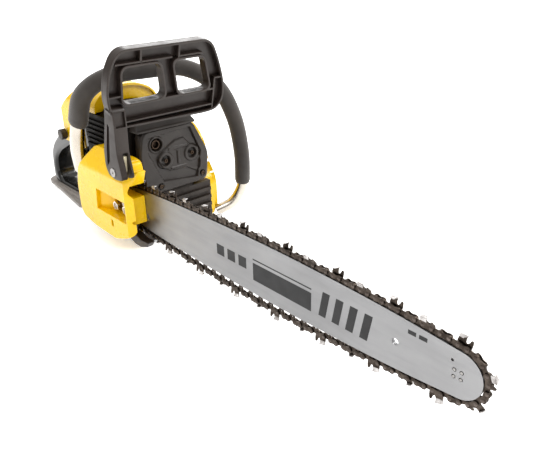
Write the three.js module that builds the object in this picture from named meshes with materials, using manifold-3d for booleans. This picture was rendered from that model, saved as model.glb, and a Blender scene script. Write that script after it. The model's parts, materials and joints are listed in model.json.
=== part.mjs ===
// Petrol chainsaw, 20 inch bar, .325 inch chain, about 50 cc.
// Millimetres. +X runs forward along the bar, +Y to the operator's left (starter side), +Z up.
// Everything is drawn round the drive sprocket's centre, in the middle plane of the bar; the finished
// group is then moved so that its origin lies under the engine, on the flat underside of the crankcase.

import * as THREE from 'three';
import { mergeVertices } from 'three/addons/utils/BufferGeometryUtils.js';
import Module from 'manifold-3d';

const wasm = await Module();
wasm.setup();

// ---------------------------------------------------------------- driving dimensions

const GAP = 0.3;                        // clearance between neighbouring pieces
const PITCH = 8.255;                    // chain pitch, rivet to rivet (.325 inch)
const DRIVE_LINKS = 76;
const SPROCKET_TEETH = 8;
const NOSE_TEETH = 10;
const NOSE_X = 551;                     // nose sprocket's centre
const RIVET_RISE = 3.9;                 // rivet line above the bar rail
const STRAP_DROP = 3.2;                 // chain straps below the rivet line
const TANG_DROP = 10.5;                 // drive tang's tip below the rivet line
const CHAIN_SAG = 5;                    // slack of the lower run at mid bar

const BAR_HALF = 2.1;                   // half the bar's thickness
const CORE_HALF = 0.75;                 // half the chain groove's width
const BAR_TAIL_X = 30;
const STUD_X = [45, 69.5];
const STUD_Z = -3;

const BODY_FRONT = 60;                  // front of the crankcase
const BODY_REAR = -72;
const BASE_Z = -66;                     // underside of the machine
const BASE_Y = 50;                      // middle of the crankcase, where the origin lies
const BODY_RIGHT = 8;                   // inner wall beside the bar
const FLYWHEEL_SIDE = 98;               // joint face towards the starter housing
const BODY_LEFT = 150;                  // outer face of the starter housing
const CYLINDER_Y = 55;
const WALL = 2.5;

const COVER_JOINT = -22;                // front edge of the top cover, over the engine shroud
const SIDE_SHIELD = 128;                // how far left the crankcase's front shield reaches

const COVER_REAR = -38;
const COVER_FRONT = 104;
const COVER_OUT = -31;                  // outer face of the clutch cover at its rear
const COVER_FRONT_OUT = -16;            // and at its front lip

const GUARD_PIVOT = [88, 60];           // x, z of the hand guard's hinge
const GUARD_BASE = [78.6, 59.6];        // where the leaning plane of its panel comes down
const GUARD_LEAN = Math.PI / 180 * 13;
const GUARD_TOP = 210;

const TRIGGER_PIN = [-151, 36];         // x, z
const LOCKOUT_PIN = [-190, 42];
const OIL_CAP = [26, -50];              // x, z of the filler caps
const FUEL_CAP = [-105, -30];
const KNOB = [-122, 58];                // x, z of the top cover's knob

const TUBE_RADIUS = 8.2;
const GRIP_RADIUS = 11.6;

// ---------------------------------------------------------------- colours

const finish = (color, roughness, metalness) => ({ color, roughness, metalness });
const YELLOW = finish(0xf2cf0c, 0.35, 0);
const BLACK = finish(0x1b1a1a, 0.55, 0);
const GLOSS_BLACK = finish(0x101011, 0.25, 0);
const RUBBER = finish(0x2a2624, 0.85, 0);
const STEEL = finish(0x8c8d8f, 0.4, 1);
const DARK_STEEL = finish(0x3a3634, 0.45, 1);
const CHROME = finish(0xc9cacc, 0.15, 1);
const ALUMINIUM = finish(0xa9abae, 0.4, 1);
const CREAM = finish(0xd9cfa6, 0.6, 0);
const BRASS = finish(0xb08d45, 0.35, 1);
const COPPER_RED = finish(0x8b2b22, 0.5, 0);

// ---------------------------------------------------------------- shape helpers

const TAU = 2 * Math.PI;

function solid(geometry) {
  const bare = geometry.clone();
  bare.deleteAttribute('normal');
  bare.deleteAttribute('uv');
  const merged = mergeVertices(bare, 1e-4);
  const corners = merged.index.array;
  const kept = [];
  for (let i = 0; i < corners.length; i += 3) {
    const [a, b, c] = [corners[i], corners[i + 1], corners[i + 2]];
    if (a !== b && b !== c && c !== a) kept.push(a, b, c);
  }
  return new wasm.Manifold(new wasm.Mesh({
    numProp: 3,
    vertProperties: Float32Array.from(merged.attributes.position.array),
    triVerts: Uint32Array.from(kept),
  }));
}

const join = (first, ...others) => others.reduce((sum, next) => sum.add(next), first);
const cut = (first, ...others) => others.reduce((sum, next) => sum.subtract(next), first);

function outline(points) {
  return new THREE.Shape(points.map(([a, b]) => new THREE.Vector2(a, b)));
}

// A closed outline whose corners are rounded by a curve that starts `radius` before each corner.
function rounded(points, radius) {
  const shape = new THREE.Shape();
  const corners = points.map(([a, b]) => new THREE.Vector2(a, b));
  corners.forEach((corner, i) => {
    const before = corners[(i + corners.length - 1) % corners.length];
    const after = corners[(i + 1) % corners.length];
    const reach = Math.min(radius, corner.distanceTo(before) / 2.1, corner.distanceTo(after) / 2.1);
    const enter = corner.clone().add(before.clone().sub(corner).setLength(reach));
    const leave = corner.clone().add(after.clone().sub(corner).setLength(reach));
    if (i === 0) shape.moveTo(enter.x, enter.y);
    else shape.lineTo(enter.x, enter.y);
    shape.quadraticCurveTo(corner.x, corner.y, leave.x, leave.y);
  });
  shape.closePath();
  return shape;
}

function circle(a, b, radius) {
  const shape = new THREE.Shape();
  shape.absarc(a, b, radius, 0, TAU, false);
  return shape;
}

function extruded(shape, depth, segments) {
  return new THREE.ExtrudeGeometry(shape, { depth, bevelEnabled: false, curveSegments: segments });
}

// Slabs of an outline: in the XZ plane, thick along Y; in the YZ plane, thick along X; and flat.
function slabXZ(shape, yLow, yHigh, segments = 4) {
  return solid(extruded(shape, yHigh - yLow, segments).rotateX(Math.PI / 2).translate(0, yHigh, 0));
}

function slabYZ(shape, xLow, xHigh, segments = 4) {
  const turn = new THREE.Matrix4().set(0, 0, 1, 0, 1, 0, 0, 0, 0, 1, 0, 0, 0, 0, 0, 1);
  return solid(extruded(shape, xHigh - xLow, segments).applyMatrix4(turn).translate(xLow, 0, 0));
}

function slabXY(shape, zLow, zHigh, segments = 4) {
  return solid(extruded(shape, zHigh - zLow, segments).translate(0, 0, zLow));
}

function block(xLow, xHigh, yLow, yHigh, zLow, zHigh) {
  const box = new THREE.BoxGeometry(xHigh - xLow, yHigh - yLow, zHigh - zLow);
  return solid(box.translate((xLow + xHigh) / 2, (yLow + yHigh) / 2, (zLow + zHigh) / 2));
}

// Round bars along Y (at x, z), along X (at y, z) and along Z (at x, y).
function rodY(radius, x, z, yLow, yHigh, sides = 16) {
  const rod = new THREE.CylinderGeometry(radius, radius, yHigh - yLow, sides);
  return solid(rod.translate(x, (yLow + yHigh) / 2, z));
}

function rodX(radius, y, z, xLow, xHigh, sides = 16) {
  const rod = new THREE.CylinderGeometry(radius, radius, xHigh - xLow, sides).rotateZ(Math.PI / 2);
  return solid(rod.translate((xLow + xHigh) / 2, y, z));
}

function rodZ(radius, x, y, zLow, zHigh, sides = 16) {
  const rod = new THREE.CylinderGeometry(radius, radius, zHigh - zLow, sides).rotateX(Math.PI / 2);
  return solid(rod.translate(x, y, (zLow + zHigh) / 2));
}

// A turned piece about Y: profile points are [radius, y].
function turnedY(profile, x, z, sides = 24) {
  const points = profile.map(([r, y]) => new THREE.Vector2(r, y));
  return solid(new THREE.LatheGeometry(points, sides).translate(x, 0, z));
}

function bentRod(points, radius, steps, sides = 10) {
  const path = new THREE.CatmullRomCurve3(points.map((p) => new THREE.Vector3(...p)), false, 'centripetal');
  const section = circle(0, 0, radius);
  return solid(new THREE.ExtrudeGeometry(section, {
    steps, extrudePath: path, bevelEnabled: false, curveSegments: sides / 2,
  }));
}

const group = new THREE.Group();
group.position.set(0, -BASE_Y, -BASE_Z);

function piece(name, body, look) {
  const mesh = body.getMesh();
  const geometry = new THREE.BufferGeometry();
  geometry.setAttribute('position', new THREE.BufferAttribute(Float32Array.from(mesh.vertProperties), 3));
  geometry.setIndex(Array.from(mesh.triVerts));
  geometry.computeVertexNormals();
  const made = new THREE.Mesh(geometry, new THREE.MeshStandardMaterial(look));
  made.name = name;
  group.add(made);
}

// ---------------------------------------------------------------- guide bar and chain

const NOSE_RAIL = 22.5;
const pitchRadius = (teeth) => PITCH / (2 * Math.sin(Math.PI / (2 * teeth)));

// Half the bar's width: it swells to a belly a little ahead of the middle.
const barWidths = new THREE.SplineCurve([
  [BAR_TAIL_X, 18], [80, 26], [200, 31.5], [340, 33], [480, 28.3], [NOSE_X, NOSE_RAIL],
].map(([x, half]) => new THREE.Vector2(x, half)));

function barHalfWidth(x) {
  const samples = barWidths.getPoints(60);
  const next = Math.max(1, samples.findIndex((point) => point.x >= x));
  const [a, b] = [samples[next - 1], samples[next]];
  return a.y + (b.y - a.y) * (x - a.x) / (b.x - a.x);
}

function barOutline(inset, noseSteps = 8, sideSteps = 10) {
  const upper = [];
  for (let i = 0; i <= sideSteps; i += 1) {
    const x = BAR_TAIL_X + 6 + (NOSE_X - BAR_TAIL_X - 6) * i / sideSteps;
    upper.push([x, barHalfWidth(x) - inset]);
  }
  const nose = [];
  for (let i = 1; i < noseSteps; i += 1) {
    const angle = Math.PI / 2 - Math.PI * i / noseSteps;
    nose.push([NOSE_X + (NOSE_RAIL - inset) * Math.cos(angle), (NOSE_RAIL - inset) * Math.sin(angle)]);
  }
  const lower = upper.map(([x, z]) => [x, -z]).reverse();
  return outline([...upper, ...nose, ...lower, [BAR_TAIL_X, -12], [BAR_TAIL_X, 12]]);
}

// The rivet line: round the drive sprocket, along the upper rail, round the nose and back, slack.
function chainPath() {
  const driveRadius = pitchRadius(SPROCKET_TEETH);
  const noseRadius = pitchRadius(NOSE_TEETH);
  const points = [];
  const arc = (centreX, radius, from, to) => {
    for (let i = 0; i <= 6; i += 1) {
      const angle = (from + (to - from) * i / 6) * Math.PI / 180;
      points.push(new THREE.Vector3(centreX + radius * Math.cos(angle), 0, radius * Math.sin(angle)));
    }
  };
  const runs = [90, 160, 250, 340, 430, 505];
  arc(0, driveRadius, 180, 95);
  runs.forEach((x) => points.push(new THREE.Vector3(x, 0, barHalfWidth(x) + RIVET_RISE)));
  arc(NOSE_X, noseRadius, 85, -85);
  [...runs].reverse().forEach((x) => {
    const sag = CHAIN_SAG * Math.sin(Math.PI * x / NOSE_X) ** 2;
    points.push(new THREE.Vector3(x, 0, -barHalfWidth(x) - RIVET_RISE - sag));
  });
  arc(0, driveRadius, -95, -166);
  return new THREE.CatmullRomCurve3(points, true, 'centripetal');
}

const path = chainPath();
path.arcLengthDivisions = 1200;

// A point `drop` inside (or, when negative, outside) the rivet line, at a place along the chain.
function alongChain(place, drop) {
  const u = ((place / (2 * DRIVE_LINKS)) % 1 + 1) % 1;
  const at = path.getPointAt(u);
  const ahead = path.getTangentAt(u);
  return [at.x + ahead.z * drop, at.z - ahead.x * drop];
}

function sawChain() {
  const outer = [];
  const inner = [];
  for (let rivet = 0; rivet < 2 * DRIVE_LINKS; rivet += 1) {
    const cutter = rivet % 4;
    outer.push(alongChain(rivet + 0.5, cutter === 1 ? -9 : -4.4));
    inner.push(alongChain(rivet + 0.5, STRAP_DROP));
  }
  const tangs = [];
  const rim = [];
  for (let link = 0; link < DRIVE_LINKS; link += 1) {
    const middle = 2 * link;
    tangs.push(alongChain(middle - 0.62, STRAP_DROP - 0.5));
    tangs.push(alongChain(middle - 0.3, TANG_DROP));
    tangs.push(alongChain(middle + 0.3, TANG_DROP));
    tangs.push(alongChain(middle + 0.62, STRAP_DROP - 0.5));
    rim.push(alongChain(middle, 0));
  }
  const belt = cut(slabXZ(outline(outer), -2.6, 2.6), slabXZ(outline(inner), -4, 4));
  const tangRing = cut(slabXZ(outline(rim), -0.62, 0.62), slabXZ(outline(tangs), -1, 1));
  piece('saw_chain', join(belt, tangRing), DARK_STEEL);
}

// Teeth that stand between the drive tangs, first tooth half a link past `phase`.
function teeth(centreX, count, phase, inner, outer, halfWidth, halfThick) {
  const all = [];
  for (let i = 0; i < count; i += 1) {
    const tooth = new THREE.BoxGeometry(outer - inner, 2 * halfThick, 2 * halfWidth);
    tooth.translate((inner + outer) / 2, 0, 0);
    tooth.rotateY(-phase - TAU * (i + 0.5) / count);
    all.push(solid(tooth.translate(centreX, 0, 0)));
  }
  return all;
}

// The angle, about a sprocket's centre, of the drive tang nearest to a wanted place on the chain.
function tangAngle(centreX, wanted) {
  let best = 0;
  for (let link = 0; link < DRIVE_LINKS; link += 1) {
    const [x, z] = alongChain(2 * link, TANG_DROP);
    const angle = Math.atan2(z, x - centreX);
    const near = Math.hypot(x - centreX, z) < 30 && Math.abs(angle - wanted) < Math.abs(best - wanted);
    if (near || link === 0) best = angle;
  }
  return best;
}

function noseSprocket() {
  const phase = tangAngle(NOSE_X, 0);
  const disc = circle(NOSE_X, 0, 15.2);
  disc.holes.push(circle(NOSE_X, 0, 7.6));
  const wheel = slabXZ(disc, -0.6, 0.6, 10);
  piece('nose_sprocket', join(wheel, ...teeth(NOSE_X, NOSE_TEETH, phase, 14.5, 19.6, 1.6, 0.6)), STEEL);
}

function noseRivet(turn) {
  const angle = Math.PI / 4 + turn * Math.PI / 2;
  return rodY(1.5, NOSE_X + 4.7 * Math.cos(angle), 4.7 * Math.sin(angle), -BAR_HALF - 0.4, BAR_HALF + 0.4, 8);
}

function noseBearing() {
  const race = rodY(7.2, NOSE_X, 0, -0.6, 0.6, 20);
  piece('nose_bearing', join(race, ...[0, 1, 2, 3].map(noseRivet)), STEEL);
}

function barPlate(name, yLow, yHigh) {
  const shape = barOutline(0);
  shape.holes.push(rounded([[34, STUD_Z - 4.4], [82, STUD_Z - 4.4], [82, STUD_Z + 4.4], [34, STUD_Z + 4.4]], 4));
  shape.holes.push(circle(96, 13, 3));
  shape.holes.push(circle(NOSE_X - 61, 0, 3.4));
  for (let turn = 0; turn < 4; turn += 1) {
    const angle = Math.PI / 4 + turn * Math.PI / 2;
    shape.holes.push(circle(NOSE_X + 4.7 * Math.cos(angle), 4.7 * Math.sin(angle), 1.8));
  }
  piece(name, slabXZ(shape, yLow, yHigh, 4), STEEL);
}

function barCore() {
  const slot = rounded([[34, STUD_Z - 4.4], [82, STUD_Z - 4.4], [82, STUD_Z + 4.4], [34, STUD_Z + 4.4]], 4);
  const core = slabXZ(barOutline(8.2, 6, 8), -CORE_HALF + 0.05, CORE_HALF - 0.05);
  const openings = [
    slabXZ(slot, -2, 2),
    rodY(20.5, NOSE_X, 0, -2, 2, 20),
    rodY(3, 96, 13, -2, 2, 8),
    rodY(3.4, NOSE_X - 61, 0, -2, 2, 8),
    block(NOSE_X, NOSE_X + 40, -2, 2, -30, 30),
  ];
  piece('bar_core', cut(core, ...openings), STEEL);
}

// ---------------------------------------------------------------- drive: crankshaft, clutch, flywheel

function crankshaft() {
  const right = turnedY([
    [0, -9], [5, -9], [5, 30], [7.5, 30], [7.5, 43], [22, 43], [22, 50.5], [0, 50.5],
  ], 0, 0, 20);
  const left = turnedY([
    [0, 59.5], [22, 59.5], [22, 67], [7.5, 67], [7.5, 88], [5, 92], [5, 126], [0, 126],
  ], 0, 0, 20);
  piece('crankshaft', join(right, left, rodY(5.5, 0, 14, 50, 60, 12)), STEEL);
}

function connectingRod() {
  const bigEnd = rodY(10, 0, 14, 52, 58, 16);
  const smallEnd = rodY(7.5, 0, 66, 52, 58, 12);
  const shank = block(-4, 4, 53, 57, 20, 62);
  const pins = [rodY(5.5 + GAP, 0, 14, 50, 60, 12), rodY(4.5, 0, 66, 50, 60, 12)];
  piece('connecting_rod', cut(join(bigEnd, smallEnd, shank), ...pins), STEEL);
}

function piston() {
  const crown = rodZ(20.4, 0, CYLINDER_Y, 50, 82, 24);
  const hollow = rodZ(16.5, 0, CYLINDER_Y, 49, 77, 16);
  const wristPin = rodY(4.2, 0, 66, 37, 73, 10);
  piece('piston', join(cut(crown, hollow), wristPin), ALUMINIUM);
}

function cylinder() {
  const barrel = rodZ(26, 0, CYLINDER_Y, 34, 92, 16);
  const fins = [];
  for (let i = 0; i < 6; i += 1) {
    const z = 46 + 8 * i;
    fins.push(block(-33, 33, CYLINDER_Y - 33, CYLINDER_Y + 33, z, z + 2));
  }
  const flange = block(-30, 30, CYLINDER_Y - 28, CYLINDER_Y + 28, 34, 40);
  const bore = rodZ(20.8, 0, CYLINDER_Y, 30, 84, 24);
  const exhaust = rodX(9, CYLINDER_Y, 58, 15, 40, 12);
  const intake = rodX(8, CYLINDER_Y, 58, -40, -15, 12);
  piece('cylinder', cut(join(barrel, flange, ...fins), bore, exhaust, intake), ALUMINIUM);
}

function sparkPlug() {
  const hex = solid(new THREE.CylinderGeometry(9, 9, 6, 6).rotateX(Math.PI / 2).translate(0, CYLINDER_Y, 96));
  const insulator = rodZ(5, 0, CYLINDER_Y, 98, 111, 12);
  piece('spark_plug', join(rodZ(6.5, 0, CYLINDER_Y, 92 + GAP, 96, 12), hex, insulator), STEEL);
}

function clutchHub() {
  const hub = rodY(13, 0, 0, 11, 27, 16);
  const shoes = [];
  for (let i = 0; i < 3; i += 1) {
    const shape = new THREE.Shape();
    const start = TAU * i / 3;
    shape.absarc(0, 0, 29.5, start, start + 1.8, false);
    shape.absarc(0, 0, 12.5, start + 1.8, start, true);
    shoes.push(slabXZ(shape, 12, 26, 5));
  }
  const bore = rodY(5 + 0.02, 0, 0, 0, 40, 20);
  piece('clutch_hub', cut(join(hub, ...shoes), bore), STEEL);
}

function clutchDrum() {
  const phase = tangAngle(0, Math.PI);
  const drum = turnedY([
    [5.4, 7], [33, 7], [33, 27], [31, 27], [31, 9.5], [5.4, 9.5], [5.4, 7],
  ], 0, 0, 20);
  const hub = turnedY([
    [5.4, -6], [16.6, -6], [16.6, -1.1], [9.8, -1.1], [9.8, 1.1], [16.6, 1.1], [16.6, 6], [12, 7.5],
    [5.4, 7.5], [5.4, -6],
  ], 0, 0, 16);
  const star = teeth(0, SPROCKET_TEETH, phase, 9, 11, 1.2, 1.3);
  piece('clutch_drum', join(drum, hub, ...star), STEEL);
}

function sprocketClip() {
  const washer = circle(0, 0, 9);
  washer.holes.push(circle(0, 0, 5.4));
  piece('sprocket_clip', slabXZ(washer, -8, -6.4, 8), CHROME);
}

function brakeBand() {
  const band = new THREE.Shape();
  band.absarc(0, 0, 35.4, 0.9, 0.9 + 5.4, false);
  band.absarc(0, 0, 33.8, 0.9 + 5.4, 0.9, true);
  piece('brake_band', slabXZ(band, 12, 24, 14), STEEL);
}

function flywheel() {
  const wheel = turnedY([
    [5.05, 100], [44, 100], [44, 106], [14, 108], [14, 118], [5.05, 118], [5.05, 100],
  ], 0, 0, 24);
  const blades = [];
  for (let i = 0; i < 12; i += 1) {
    const blade = new THREE.BoxGeometry(24, 13, 2).translate(31, 111.5, 0).rotateY(TAU * i / 12);
    blades.push(solid(blade));
  }
  piece('flywheel', join(wheel, ...blades), ALUMINIUM);
}

function flywheelNut() {
  const nut = solid(new THREE.CylinderGeometry(9, 9, 5, 6).translate(0, 121, 0));
  piece('flywheel_nut', cut(nut, rodY(5.4, 0, 0, 110, 130, 16)), CHROME);
}

function ignitionCoil() {
  const core = block(-17, 17, 100, 112, 46, 58);
  piece('ignition_coil', join(core, rodX(8.5, 106, 64, -12, 12, 12)), BLACK);
}

// ---------------------------------------------------------------- engine casings

function crankcase() {
  const side = rounded([
    [BODY_REAR, BASE_Z], [BODY_FRONT, BASE_Z], [BODY_FRONT, -1], [40, 33.7], [-45, 33.7], [BODY_REAR, 12],
  ], 4);
  let body = slabXZ(side, BODY_RIGHT, FLYWHEEL_SIDE - GAP, 3);
  const recesses = [
    rodY(38, 0, 0, 0, 28.5, 28),
    rodY(24, 0, 0, 41.5, 68.5, 24),
    rodY(8, 0, 0, 20, 100, 16),
    rodZ(21, 0, CYLINDER_Y, 10, 40, 20),
    block(-34, -7, 28, 39, -36, -18),
    block(-60, 44, 72, 92, -60, -40),
    rodY(11, OIL_CAP[0], OIL_CAP[1], 85, 110, 18),
  ];
  body = cut(body, ...recesses);
  const ribs = [];
  for (let i = 0; i < 4; i += 1) {
    const z = -12 - 12 * i;
    ribs.push(block(BODY_FRONT - 1, BODY_FRONT + 4, 62, SIDE_SHIELD - 2, z - 3, z + 2));
  }
  const shield = block(50, BODY_FRONT, 90, SIDE_SHIELD, BASE_Z, -1);
  const barPad = slabXZ(rounded([[36, -20], [98, -20], [98, 18], [36, 18]], 8), BAR_HALF + 0.1, BODY_RIGHT + 1);
  const studHoles = STUD_X.map((x) => rodY(4.1, x, STUD_Z, 0, 24.5, 12));
  body = cut(join(body, shield, ...ribs, barPad), ...studHoles, rodY(39, 0, 0, 0, BODY_RIGHT + 2, 28));
  const foot = outline([[-71, BASE_Z + 1], [-50, BASE_Z + 1], [-54, BASE_Z - 1.2], [-68, BASE_Z - 1.2]]);
  piece('crankcase', join(body, slabXZ(foot, 10, 30)), BLACK);
}

function oilPump() {
  const body = block(-32, -14, 29, 38, -34, -20);
  const outlet = rodX(2.5, 33.5, -27, -15, -8, 10);
  piece('oil_pump', join(body, outlet), ALUMINIUM);
}

// Cross-section of the bodywork over the engine: straight sides under a bezier crown.
function arch(inset, foot, shoulder, crown, right = 4, left = 101) {
  const shape = new THREE.Shape();
  const peak = crown - 1.6 * inset;
  shape.moveTo(right + inset, foot);
  shape.lineTo(right + inset, shoulder);
  shape.bezierCurveTo(right + 2 + inset, peak, left - 5 - inset, peak + 2, left - inset, shoulder);
  shape.lineTo(left - inset, foot);
  return shape;
}

function engineShroud() {
  const top = rounded([[-64, 3], [48, 3], [48, 96.5], [-64, 96.5]], 12);
  const inside = rounded([[-61, 5.5], [45.5, 5.5], [45.5, 94], [-61, 94]], 10);
  const wall = cut(slabXY(top, 34.2, 104), slabXY(inside, 30, 110));
  const ribs = [];
  for (let i = 0; i < 6; i += 1) {
    const z = 58 + 7 * i;
    ribs.push(block(-52, 34, 0.5, 4, z, z + 3));
  }
  const window = block(40, 60, 26, 88, 30, 96);
  const carbWindow = block(-70, -55, 30, 82, 36, 80);
  let roof = slabYZ(arch(0, 60, 92, 126), COVER_JOINT, 48, 8);
  roof = cut(roof, slabYZ(arch(WALL, 60, 92, 126), COVER_JOINT - 10, 45.5, 8), block(-60, 60, 0, 110, 50, 102));
  const overhang = block(-60, 60, 96.5, 110, 50, 101);
  piece('engine_shroud', cut(join(wall, ...ribs, roof), window, carbWindow, overhang), BLACK);
}

function muffler() {
  const can = slabXZ(rounded([[34.5, 38], [56, 38], [56, 86], [34.5, 86]], 5), 30, 84, 3);
  const outlet = cut(rodX(6.4, 41, 72, 50, 62, 14), rodX(4.6, 41, 72, 54, 70, 12));
  piece('muffler', cut(join(can, outlet), rodX(9, CYLINDER_Y, 58, 30, 44, 12)), DARK_STEEL);
}

function mufflerCover() {
  const face = rounded([[16, 14], [40, 4], [118, 12], [122, 48], [108, 93], [22, 93], [12, 60]], 9);
  const front = slabYZ(face, 57.5, 66, 4);
  const hood = slabXZ(outline([[48.6, 96.5], [66, 92], [66, 88], [62, 88], [48.6, 88.5]]), 14, 112);
  const roof = slabXZ(outline([[48.6, 108], [52, 108], [66, 93.5], [66, 90], [48.6, 94]]), 12, 110);
  const hollow = slabYZ(rounded([[22, 20], [42, 10], [112, 17], [116, 48], [103, 88], [27, 88], [18, 60]], 8),
    56, 63.5, 4);
  const openings = [hollow, rodX(7.2, 41, 72, 50, 80, 16)];
  for (const [y, z] of [[52, 48], [95, 50], [111, 16], [41, 13.5]]) {
    openings.push(rodX(3.4, y, z, 64.5, 80, 10));
  }
  const rib = block(65, 68, 70.5, 74.5, 38, 58);
  piece('muffler_cover', join(cut(join(front, hood, roof), ...openings), rib), BLACK);
}

function mufflerScrew(index, y, z) {
  const head = cut(rodX(2.9, y, z, 64.7, 67, 12), rodX(1.3, y, z, 65.8, 70, 6));
  piece(`muffler_screw_${index}`, head, STEEL);
}

function airFilter() {
  piece('air_filter', slabXY(rounded([[-118, 18], [-66, 18], [-66, 82], [-118, 82]], 10), 80, 101, 3), CREAM);
}

function carburettor() {
  const body = block(-88, -58, 40, 70, 44, 74);
  const neck = rodX(13, CYLINDER_Y, 58, -60, -52, 16);
  const throat = rodX(9.5, CYLINDER_Y, 58, -100, -40, 18);
  piece('carburettor', cut(join(body, neck), throat), ALUMINIUM);
}

function intakeBoot() {
  const boot = rodX(13, CYLINDER_Y, 58, -51.6, -33.4, 16);
  piece('intake_boot', cut(boot, rodX(9, CYLINDER_Y, 58, -60, -20, 14)), RUBBER);
}

function butterfly(name, x) {
  const plate = rodX(8.2, CYLINDER_Y, 58, x - 0.5, x + 0.5, 16);
  const stem = rodY(1.4, x, 58, 47.2, 62.8, 8);
  piece(name, join(plate, stem), BRASS);
}

// What the top cover's rear falls away from; `drop` lowers the slope for the inner skin.
function rearSlope(drop) {
  const above = outline([[-145, 165], [-58, 165], [-58, 150 - drop], [-100, 124 - drop], [-145, 78 - drop]]);
  return slabXZ(above, -10, 120);
}

function topCover() {
  const outer = cut(slabYZ(arch(0, 46, 108, 147, 2, 104), -128, COVER_JOINT - GAP, 10), rearSlope(0));
  const inner = cut(slabYZ(arch(WALL, 40, 108, 147, 2, 104), -125, COVER_JOINT + 5, 10), rearSlope(3.4));
  const overShroud = block(-66, 0, -10, 120, 30, 104.4);
  const leftSkirt = block(-140, -65, 30, 120, 30, 80);
  piece('top_cover', cut(outer, inner, overShroud, leftSkirt), YELLOW);
}

function coverKnob() {
  piece('cover_knob', join(rodY(8, ...KNOB, -9, 0, 14), rodY(3, ...KNOB, -1, 1.7, 10)), BLACK);
}

// ---------------------------------------------------------------- starter side

// The starter housing is wide round the flywheel and steps in to a smaller dome over the pulley.
const HOUSING = [[-74, BASE_Z], [49.5, BASE_Z], [49.5, 14], [42, 44], [24, 68], [4, 82], [-52, 80], [-74, 46]];
const DOME = [[-70, BASE_Z], [49.5, BASE_Z], [49.5, -8], [31, 16], [23, 50], [-4, 74], [-50, 76], [-70, 42]];

const shrunk = (points, scale) => points.map(([x, z]) => [x * scale, z * scale + 60 * (1 - scale) / 2]);

function starterHousing() {
  const step = FLYWHEEL_SIDE + 24;
  const wide = slabXZ(rounded(HOUSING, 14), FLYWHEEL_SIDE, step, 5);
  const narrow = slabXZ(rounded(DOME, 14), step - 1, BODY_LEFT - 8, 5);
  const dome = slabXZ(rounded(shrunk(DOME, 0.93), 14), BODY_LEFT - 8.5, BODY_LEFT, 5);
  const wideRoom = slabXZ(rounded(shrunk(HOUSING, 0.94), 12), FLYWHEEL_SIDE - 1, step - 3, 5);
  const narrowRoom = slabXZ(rounded(shrunk(DOME, 0.9), 12), FLYWHEEL_SIDE - 1, BODY_LEFT - 11, 5);
  const slots = [];
  for (let i = 0; i < 12; i += 1) {
    const slot = new THREE.BoxGeometry(14, 30, 4.5).translate(34, BODY_LEFT, 0).rotateY(TAU * i / 12);
    slots.push(solid(slot));
  }
  const bay = rodY(26, 0, 0, 129, BODY_LEFT - 2.5, 24);
  const ropeHole = rodZ(4, -18, 135, 60, 100, 10);
  const capHole = rodY(14, OIL_CAP[0], OIL_CAP[1], 90, BODY_LEFT + 10, 20);
  const solidHousing = join(wide, narrow, dome);
  piece('starter_housing', cut(solidHousing, wideRoom, narrowRoom, bay, ropeHole, capHole, ...slots), YELLOW);
}

function starterPulley() {
  const pulley = turnedY([
    [4, 131], [24, 131], [24, 133], [18, 133.5], [18, 137.5], [24, 138], [24, 140], [4, 140], [4, 131],
  ], 0, 0, 20);
  piece('starter_pulley', pulley, BLACK);
}

function starterSpring() {
  const turns = 3;
  const steps = 14 * turns;
  const edge = (offset) => Array.from({ length: steps + 1 }, (_, i) => {
    const angle = TAU * turns * i / steps;
    const radius = 8 + 5.5 * turns * i / steps + offset;
    return [radius * Math.cos(angle), radius * Math.sin(angle)];
  });
  const ribbon = outline([...edge(0.9), ...edge(0).reverse()]);
  piece('starter_spring', slabXZ(ribbon, 141, 146), STEEL);
}

function starterRope() {
  const rope = bentRod([[-17, 135.5, 20.5], [-18, 135.5, 40], [-18, 135, 70], [-19.5, 135, 88]], 1.6, 8, 8);
  piece('starter_rope', rope, RUBBER);
}

function starterGrip() {
  const bar = rodX(7, 135, 98, -52, 12, 14);
  const neck = rodZ(6, -20.5, 135, 88.5, 98, 12);
  const tilt = cut(join(bar, neck), rodZ(2, -20.5, 135, 86, 97, 10));
  piece('starter_grip', tilt, RUBBER);
}

function turnCap(name, x, z, yLow, yHigh) {
  const rim = rodY(13, x, z, yHigh - 9, yHigh - 1, 16);
  const thread = rodY(10.5, x, z, yLow, yHigh - 8, 16);
  const bar = block(x - 11, x + 11, yHigh - 2, yHigh + 4, z - 2, z + 2);
  piece(name, join(rim, thread, bar), BLACK);
}

// ---------------------------------------------------------------- right side

// The clutch cover's outer skin leans in towards the front.
const coverSkin = (x) => COVER_OUT + (COVER_FRONT_OUT - COVER_OUT) * (x - COVER_REAR) / (COVER_FRONT - COVER_REAR);

const COVER_OUTLINE = [
  [COVER_REAR, -27], [-30, -37], [0, -43], [52, -46], [88, -30], [COVER_FRONT, -21], [COVER_FRONT, 22],
  [93, 30], [99, 45], [104, 57], [100, 57], [97, 68], [82, 70], [38, 66], [34, 72], [4, 72],
  [-12, 54], [-30, 36], [COVER_REAR, 10],
];

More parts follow.
